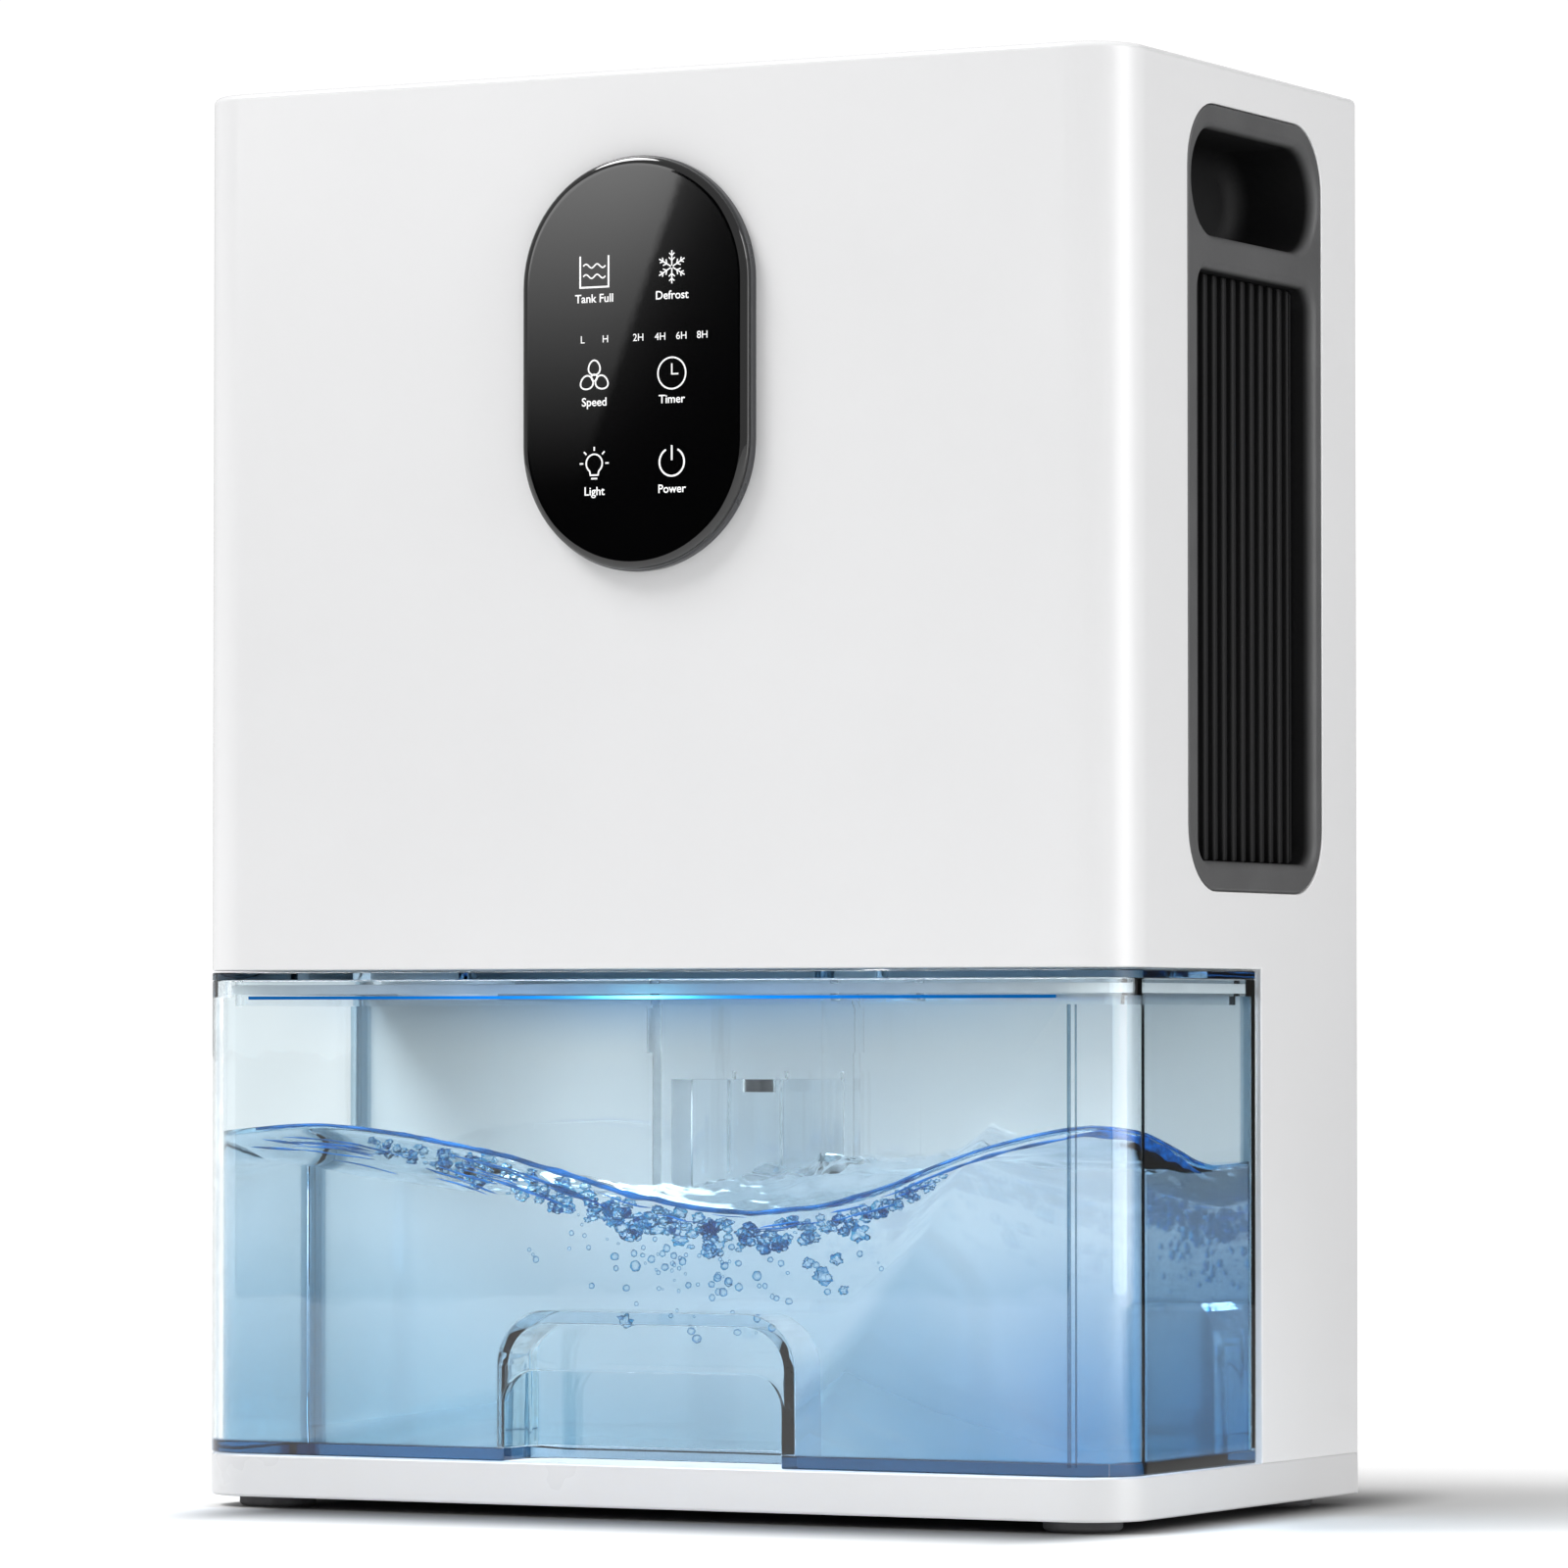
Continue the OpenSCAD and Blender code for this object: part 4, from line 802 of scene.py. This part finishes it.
def water_height(x, y):
    """Height of the water's surface, from the front line to the rear line, with its churned middle."""
    back = max(0.0, min(1.0, (y - FRONT_Y - 4) / 50))
    back = back * back * (3 - 2 * back)
    level = through(FRONT_LINE, x) * (1 - back) + through(REAR_LINE, x) * back
    churn = math.exp(-((x - 12) / 62) ** 2)
    level += ripple(x, y * 0.8, 26) * (0.5 + 1.5 * back)
    level += churn * (0.15 + 0.85 * back) * (3.2 * ripple(x + 40, y, 9) + 1.3 * ripple(x, y + 70, 4))
    return level


def water_piece():
    """Water that fills the tank's inside up to its rippled surface, and climbs a little at the walls."""
    lo_x, hi_x = TANK_LO.x + WALL, TANK_HI.x - WALL
    lo_y, hi_y = TANK_LO.y + WALL, TANK_HI.y - WALL
    step = 1.1
    creep, climb = 2.2, 1.3
    rows = int((hi_y - lo_y) / step)
    columns = int((hi_x - lo_x) / step)

    def inset(y):
        for edge, r, inward in ((lo_y, WATER_CORNER_R, 1), (hi_y, REAR_R - WALL, -1)):
            into = (y - edge) * inward
            if into < r:
                return r - math.sqrt(max(0.0, r * r - (r - into) ** 2))
        return 0.0

    bm = bmesh.new()
    grid, floor = [], []
    for j in range(rows + 1):
        s = j / rows
        y = lo_y + (hi_y - lo_y) * s + 0.012 * (1 - s)
        side = inset(max(lo_y + 0.02, min(hi_y - 0.02, y)))
        top_row, low_row = [], []
        for i in range(columns + 1):
            x = lo_x + side + (hi_x - lo_x - 2 * side) * i / columns
            rise = 0.0
            wall = min(x - lo_x - side, hi_x - side - x, y - lo_y, hi_y - y)
            if wall < creep:
                rise = climb * (1 - wall / creep) ** 2
            top_row.append(bm.verts.new(Vector((x, y, water_height(x, y) + rise)) * MM))
            low_row.append(bm.verts.new(Vector((x, y, WATER_FLOOR)) * MM))
        grid.append(top_row)
        floor.append(low_row)
    for j in range(rows):
        for i in range(columns):
            bm.faces.new((grid[j][i], grid[j][i + 1], grid[j + 1][i + 1], grid[j + 1][i]))
            bm.faces.new((floor[j][i], floor[j + 1][i], floor[j + 1][i + 1], floor[j][i + 1]))
    # the four sides, all the way round
    rim = ([(0, i) for i in range(columns + 1)] + [(j, columns) for j in range(1, rows + 1)]
           + [(rows, i) for i in range(columns - 1, -1, -1)] + [(j, 0) for j in range(rows - 1, 0, -1)])
    for (j0, i0), (j1, i1) in zip(rim, rim[1:] + rim[:1]):
        bm.faces.new((floor[j0][i0], floor[j1][i1], grid[j1][i1], grid[j0][i0]))
    bmesh.ops.recalc_face_normals(bm, faces=bm.faces)
    smooth_faces(bm, 50)
    cut_pocket(add_mesh("tank_water", bm, WATER, "water_tank"))


def cut_pocket(water):
    """Takes the finger pocket's block, which stands in the water, out of it."""
    cutter = bmesh.new()
    outline = [(POCKET_HALF, 0), (POCKET_HALF, POCKET_TOP - POCKET_R)]
    for i in range(1, 11):
        turn = math.pi / 2 * i / 10
        outline.append((POCKET_HALF - POCKET_R + POCKET_R * math.cos(turn),
                        POCKET_TOP - POCKET_R + POCKET_R * math.sin(turn)))
    outline += [(-u, v) for u, v in reversed(outline)]
    loft(cutter, [[(u, y, v) for u, v in outline] for y in (FRONT_Y - 2, FRONT_Y + 20.1)])
    tool = mesh_object("cutter", cutter)
    notch = water.modifiers.new("notch", "BOOLEAN")
    notch.operation = "DIFFERENCE"
    notch.solver = "EXACT"
    notch.object = tool
    bpy.context.view_layer.update()
    cut = evaluated_mesh(water)
    water.modifiers.remove(notch)
    bpy.data.objects.remove(tool)
    water.data = cut


def bubbles():
    """Clear balls under the trough, and ragged froth close under the water line."""
    bm = bmesh.new()

    def bubble(at, size, ragged, flat):
        made = bmesh.ops.create_icosphere(bm, subdivisions=3 if size > 0.7 else 2, radius=1.0)
        seed = Vector([rng.uniform(0, 50) for _ in range(3)])
        for vert in made["verts"]:
            shape = vert.co.copy()
            bulge = noise.noise(shape * 1.6 + seed) + 0.5 * noise.noise(shape * 3.4 + seed)
            swell = 1 + ragged * bulge
            vert.co = (Vector(at) + Vector((shape.x, shape.y, shape.z * flat)) * size * swell) * MM

    wall = FRONT_Y + WALL
    for _ in range(105):
        x = rng.gauss(12, 20)
        z = water_height(x, wall) - abs(rng.gauss(0, 11)) - 7
        size = 0.32 + abs(rng.gauss(0, 0.42))
        if abs(x - 12) < 48 and z > 41:
            bubble((x, wall + rng.uniform(1.6, 4.5), z), min(size, 1.35), 0.2, rng.uniform(0.85, 1.15))
    for _ in range(290):
        x = rng.uniform(-74, 74)
        spread = 1 - ((x + 4) / 82) ** 2
        y = wall + rng.uniform(1.8, 9)
        z = water_height(x, wall) - rng.uniform(1.2, 2.5 + 6.5 * spread)
        bubble((x, y, z), rng.uniform(0.6, 1.9) * (0.5 + 0.5 * spread), 0.7, rng.uniform(0.5, 0.95))
    for x, z, size in ((45, 56, 1.9), (48, 60, 1.5), (54, 66, 2.1), (41, 59, 1.2), (50, 53, 1.0),
                       (-6, 45, 1.6)):
        bubble((x, wall + 3.0, z), size, 0.8, 0.9)
    smooth_faces(bm, 180)
    add_mesh("water_bubbles", bm, BUBBLE, "water_tank")


def shore(along, inset):
    """Point on the tank's inner wall, from the front's left end round the right-hand corner to the back."""
    r = WATER_CORNER_R
    corner_x, corner_y = TANK_HI.x - WALL - r, FRONT_Y + WALL + r
    arc = r * math.pi / 2
    if along < corner_x:
        return along, FRONT_Y + WALL + inset
    if along < corner_x + arc:
        turn = (along - corner_x) / r
        return corner_x + (r - inset) * math.sin(turn), corner_y - (r - inset) * math.cos(turn)
    return TANK_HI.x - WALL - inset, corner_y + along - corner_x - arc


def painted_corner_shade_lines():
    """Painted shade: thin dark lines where the tank's rounded front corner begins and ends, inside the wall.
    """
    bm = bmesh.new()
    start = TANK_HI.x - WALL - WATER_CORNER_R
    stop = start + WATER_CORNER_R * math.pi / 2
    for along, wide in ((start, 0.8), (start + 1.7, 0.4), (stop, 0.8)):
        foot = [shore(along, -0.35), shore(along + wide, -0.35),
                shore(along + wide, -0.1), shore(along, -0.1)]
        loft(bm, [[(x, y, z) for x, y in foot] for z in (14.5, 117.5)])
    add_mesh("tank_corner_painted_shade", bm, CORNER_SHADE, "water_tank")


def painted_water_line_shade():
    """Painted shade: dark strips with a faint painted blue glow, for the dark lines that the water's edge and
    its folds draw behind the clear wall.
    """
    bm = bmesh.new()

    def shade_strip(start, end, inset, drop, thick, wander):
        steps = max(10, int((end - start) / 1.6))
        seed = rng.uniform(0, 90)
        rings = []
        for i in range(steps + 1):
            t = i / steps
            along = start + (end - start) * t
            x, y = shore(along, inset)
            z = water_height(x, y) + drop(t) + wander * noise.noise(Vector((along / 14, seed, 0)))
            half = thick(t) * (0.72 + 0.5 * noise.noise(Vector((along / 5, seed, 4)))) / 2
            x1, y1 = shore(along, inset + 0.35)
            x_mid, y_mid = (x + x1) / 2, (y + y1) / 2
            low, high = z - half * 0.6, z + half * 0.6
            rings.append([(x, y, low), (x_mid, y_mid, z - half), (x1, y1, low),
                          (x1, y1, high), (x_mid, y_mid, z + half), (x, y, high)])
        loft(bm, rings)

    def tapered(size, power=0.6):
        return lambda t: 0.05 + size * math.sin(math.pi * min(0.999, max(0.001, t))) ** power

    # painted shade along the water's edge, the fold past the corner and the one before it
    shade_strip(-104, 158, 0.15, lambda t: 0.8, lambda t: 0.6 + 1.35 * math.exp(-((t - 0.33) / 0.2) ** 2), 0.15)
    shade_strip(106, 157, 0.75, lambda t: -0.6 - 0.5 * t, tapered(3.6, 0.9), 0.4)
    shade_strip(60, 112, 0.9, lambda t: -1.0, tapered(1.1), 0.3)
    for _ in range(22):
        start = rng.uniform(-106, -30)
        depth = rng.uniform(1.5, 4 + 9 * max(0.0, (start + 110) / 60) * max(0.0, (-28 - start) / 60))
        length = rng.uniform(9, 26)
        shade_strip(start, start + length, rng.uniform(0.4, 3.0), lambda t, d=depth: -d - 1.5 * t,
               tapered(rng.uniform(0.3, 0.95)), 0.5)
    for _ in range(14):
        start = rng.uniform(-30, 66)
        depth = rng.uniform(0.8, 4.0)
        shade_strip(start, start + rng.uniform(6, 16), rng.uniform(0.4, 5.0), lambda t, d=depth: -d,
               tapered(rng.uniform(0.25, 0.8)), 0.8)
    smooth_faces(bm, 180)
    add_mesh("water_line_painted_shades", bm, WATER_LINE_SHADE, "water_tank")


water_piece()
bubbles()
painted_water_line_shade()
painted_corner_shade_lines()


# ---------------------------------------------------------------- studio
AIM = Vector((0.0369, -0.0645, 0.1675))
CAMERA_TURN = math.radians(27.549)
CAMERA_TILT = math.radians(1.804)
CAMERA_DISTANCE = 1.7888
CAMERA_SPOT = AIM - CAMERA_DISTANCE * Vector((
    -math.sin(CAMERA_TURN) * math.cos(CAMERA_TILT), math.cos(CAMERA_TURN) * math.cos(CAMERA_TILT),
    math.sin(CAMERA_TILT)))
WORLD_LIGHT, WORLD_THROUGH_GLASS, WORLD_SEEN = 0.52, 1.10, 1.05
CARD_SLANT, CARD_EDGE = 0.33, 0.006
CARD_DARK, CARD_BRIGHT = -0.055, 0.09
CARD_GLOW = 2.9
STRIP_HALF, STRIP_GLOW = 0.75, 4.2
BAY_LAMP_WIDE = 0.15
SHADE_COS, SHADE_SIN = 0.887, 0.463


def painted_floor_shade(tree):
    """Painted soft contact shadow round the footprint, and a paler painted shadow that reaches out on the
    right.
    """
    shader = principled(tree)
    axes = object_axes(tree)
    beyond = []
    for axis, half, middle, scale in (("X", 0.098, 0.008, 1.0), ("Y", 0.058, 0.002, 0.42)):
        off = math_node(tree, "ABSOLUTE", math_node(tree, "SUBTRACT", axes[axis], middle))
        past = math_node(tree, "MAXIMUM", math_node(tree, "SUBTRACT", off, half), 0.0)
        past = math_node(tree, "MULTIPLY", past, scale)
        beyond.append(math_node(tree, "MULTIPLY", past, past))
    distance = math_node(tree, "SQRT", math_node(tree, "ADD", *beyond))
    paper = shader.inputs["Base Color"].links[0].from_socket
    away = put(tree, "MapRange", {"Value": distance, "From Min": 0.004, "From Max": 0.034},
               interpolation_type="SMOOTHSTEP").outputs["Result"]
    turned_x = math_node(tree, "ADD", math_node(tree, "MULTIPLY", axes["X"], SHADE_COS),
                         math_node(tree, "MULTIPLY", axes["Y"], SHADE_SIN))
    turned_y = math_node(tree, "SUBTRACT", math_node(tree, "MULTIPLY", axes["Y"], SHADE_COS),
                         math_node(tree, "MULTIPLY", axes["X"], SHADE_SIN))
    reach = ramped(tree, turned_x, 0.235, 0.125, 0.0, 0.42)
    for side, start, end in ((turned_y, -0.150, -0.085), (turned_y, 0.10, 0.0), (turned_x, 0.07, 0.12)):
        reach = math_node(tree, "MULTIPLY", reach, ramped(tree, side, start, end))
    away = math_node(tree, "SUBTRACT", away, math_node(tree, "MULTIPLY", reach, away))
    shaded = mixed(tree, away, rgb((0.05, 0.05, 0.05)), paper)
    rays = put(tree, "LightPath").outputs
    # Diffuse rays see the floor plain grey, darker than the paper: painted shade in the light it bounces onto
    # the object.
    bounced = mixed(tree, rays["Is Diffuse Ray"], shaded, rgb((0.76, 0.76, 0.76)))
    # Every ray but the camera's sees a dark painted patch right of and behind the object: painted shade in
    # reflections and through glass.
    behind = math_node(tree, "MULTIPLY", ramped(tree, axes["X"], 0.14, 0.26),
                       ramped(tree, axes["Y"], -0.02, 0.12))
    behind = math_node(tree, "MULTIPLY", behind, math_node(tree, "SUBTRACT", 1.0, rays["Is Camera Ray"]))
    tree.links.new(mixed(tree, behind, bounced, rgb((0.12, 0.12, 0.12))), shader.inputs["Base Color"])


def floor():
    bm = bmesh.new()
    bmesh.ops.create_grid(bm, x_segments=1, y_segments=1, size=30)
    paper = surface("floor_paper", (0.96, 0.96, 0.96), 0.9, 0.003, 0.02, 300, 2.0, 0.01)
    painted_floor_shade(paper.node_tree)
    sheet = mesh_object("floor", bm, paper)
    sheet.location.z = -0.0001


def world():
    """White all round, brighter where it is seen through glass or by the camera than as a light."""
    sky = bpy.data.worlds.new("studio")
    bpy.context.scene.world = sky
    sky.use_nodes = True
    tree = sky.node_tree
    tree.nodes.clear()
    rays = put(tree, "LightPath").outputs
    level = put(tree, "Mix", {0: rays["Is Transmission Ray"], 2: WORLD_LIGHT,
                              3: WORLD_THROUGH_GLASS}).outputs[0]
    level = put(tree, "Mix", {0: rays["Is Camera Ray"], 2: level, 3: WORLD_SEEN}).outputs[0]
    back = put(tree, "Background", {"Color": (1, 1, 1, 1), "Strength": level})
    put(tree, "OutputWorld", {"Surface": back.outputs[0]})


def studio():
    scene = bpy.context.scene
    scene.view_settings.view_transform = "Standard"
    scene.view_settings.look = "None"
    scene.cycles.max_bounces = 28
    scene.cycles.transmission_bounces = 26
    scene.cycles.transparent_max_bounces = 32
    floor()
    world()


def aimed(name, data, spot, at):
    """Lamp of this data at a spot, pointed at a place."""
    lamp = linked(name, data)
    lamp.location = spot
    lamp.rotation_mode = "QUATERNION"
    lamp.rotation_quaternion = (Vector(at) - Vector(spot)).to_track_quat("-Z", "Y")
    return lamp


def toward(azimuth, elevation, distance, centre=AIM):
    """A place seen from centre at this azimuth (0 is the front, 90 the right side) and elevation."""
    a, e = math.radians(azimuth), math.radians(elevation)
    return centre + distance * Vector((math.sin(a) * math.cos(e), -math.cos(a) * math.cos(e), math.sin(e)))


def area_lamp(name, spot, at, wide, tall, power, colour=(1, 1, 1)):
    """Rectangular lamp that the camera doesn't see."""
    data = bpy.data.lights.new(name, "AREA")
    data.shape = "RECTANGLE"
    data.size, data.size_y = wide, tall
    data.energy = power
    data.color = colour
    lamp = aimed(name, data, spot, at)
    lamp.visible_camera = False
    return lamp


def lamps():
    sun = bpy.data.lights.new("sun", "SUN")
    sun.energy = 2.4
    sun.angle = math.radians(26)
    aimed("sun", sun, toward(-55, 52, 5), AIM)
    area_lamp("side_softbox", toward(91, 12, 1.6), AIM, 1.0, 1.8, 15.0)
    fill = area_lamp("bay_fill", (0.035, -0.03, 0.1254), (0.035, -0.025, 0.0), BAY_LAMP_WIDE, 0.05, 0.50)
    fill.visible_glossy = fill.visible_transmission = False
    glow = area_lamp("night_light", (0, -0.057, 0.1253), (0, -0.050, 0.0), BAY_LAMP_WIDE, 0.004, 0.005,
                     (0.10, 0.42, 1.0))
    glow.visible_transmission = False


def card(name, spot, target, half_wide, half_tall, glow, through_glass=False):
    """Card that only mirror-like surfaces see, and glass if asked. glow(tree, x, y) gives its strength."""
    bm = bmesh.new()
    bmesh.ops.create_grid(bm, x_segments=1, y_segments=1, size=1.0)
    for vert in bm.verts:
        vert.co.x *= half_wide
        vert.co.y *= half_tall
    material, tree = new_tree(name)
    axes = object_axes(tree)
    lamp = put(tree, "Emission", {"Color": (1, 1, 1, 1), "Strength": glow(tree, axes["X"], axes["Y"])})
    put(tree, "OutputMaterial", {"Surface": lamp.outputs[0]})
    shown = mesh_object(name, bm, material)
    shown.location = spot
    shown.rotation_mode = "QUATERNION"
    shown.rotation_quaternion = (target - spot).to_track_quat("Z", "Y")
    shown.visible_camera = shown.visible_diffuse = False
    shown.visible_shadow = False
    shown.visible_transmission = through_glass


def panel_card_glow(tree, x, y):
    """Falls off downwards and stops at a slanted edge."""
    tilted = math_node(tree, "MULTIPLY_ADD", y, CARD_SLANT, x)
    edge = ramped(tree, tilted, CARD_EDGE - 0.002, CARD_EDGE + 0.002)
    fall = math_node(tree, "POWER", ramped(tree, y, CARD_DARK, CARD_BRIGHT), 1.6)
    return math_node(tree, "MULTIPLY", math_node(tree, "MULTIPLY", edge, fall), CARD_GLOW)


def strip_glow(tree, x, y):
    """Brightest along its upright middle line."""
    off = math_node(tree, "ABSOLUTE", x)
    return math_node(tree, "MULTIPLY", ramped(tree, off, STRIP_HALF, 0.0), STRIP_GLOW)


def flag_glow(tree, x, y):
    """Nearly black, and a little paler towards one side."""
    return ramped(tree, x, 0.8, -0.8, 0.03, 0.10)


def cards():
    """The panel's sheen, placed from the photo's camera, the corner's highlight, and a dark card."""
    lens = Vector((0, LENS_LO.y, PANEL_Z)) * MM
    across, away, up = CAMERA_SPOT - lens
    mirrored = lens + Vector((-across, away, -up)).normalized() * 1.5
    card("panel_card", mirrored, lens, 0.5, 0.5, panel_card_glow)
    card("corner_card", toward(91, 0, 1.5), AIM, STRIP_HALF, 1.2, strip_glow)
    card("dark_flag", toward(150, 0, 1.5), AIM, 0.85, 1.3, flag_glow, True)


def camera():
    data = bpy.data.cameras.new("camera")
    data.lens = 181.2
    data.sensor_width = 36
    data.clip_start, data.clip_end = 0.05, 200
    shown = linked("camera", data)
    shown.location = CAMERA_SPOT
    shown.rotation_euler = (math.pi / 2 + CAMERA_TILT, 0, CAMERA_TURN)
    bpy.context.scene.camera = shown


studio()
lamps()
cards()
camera()
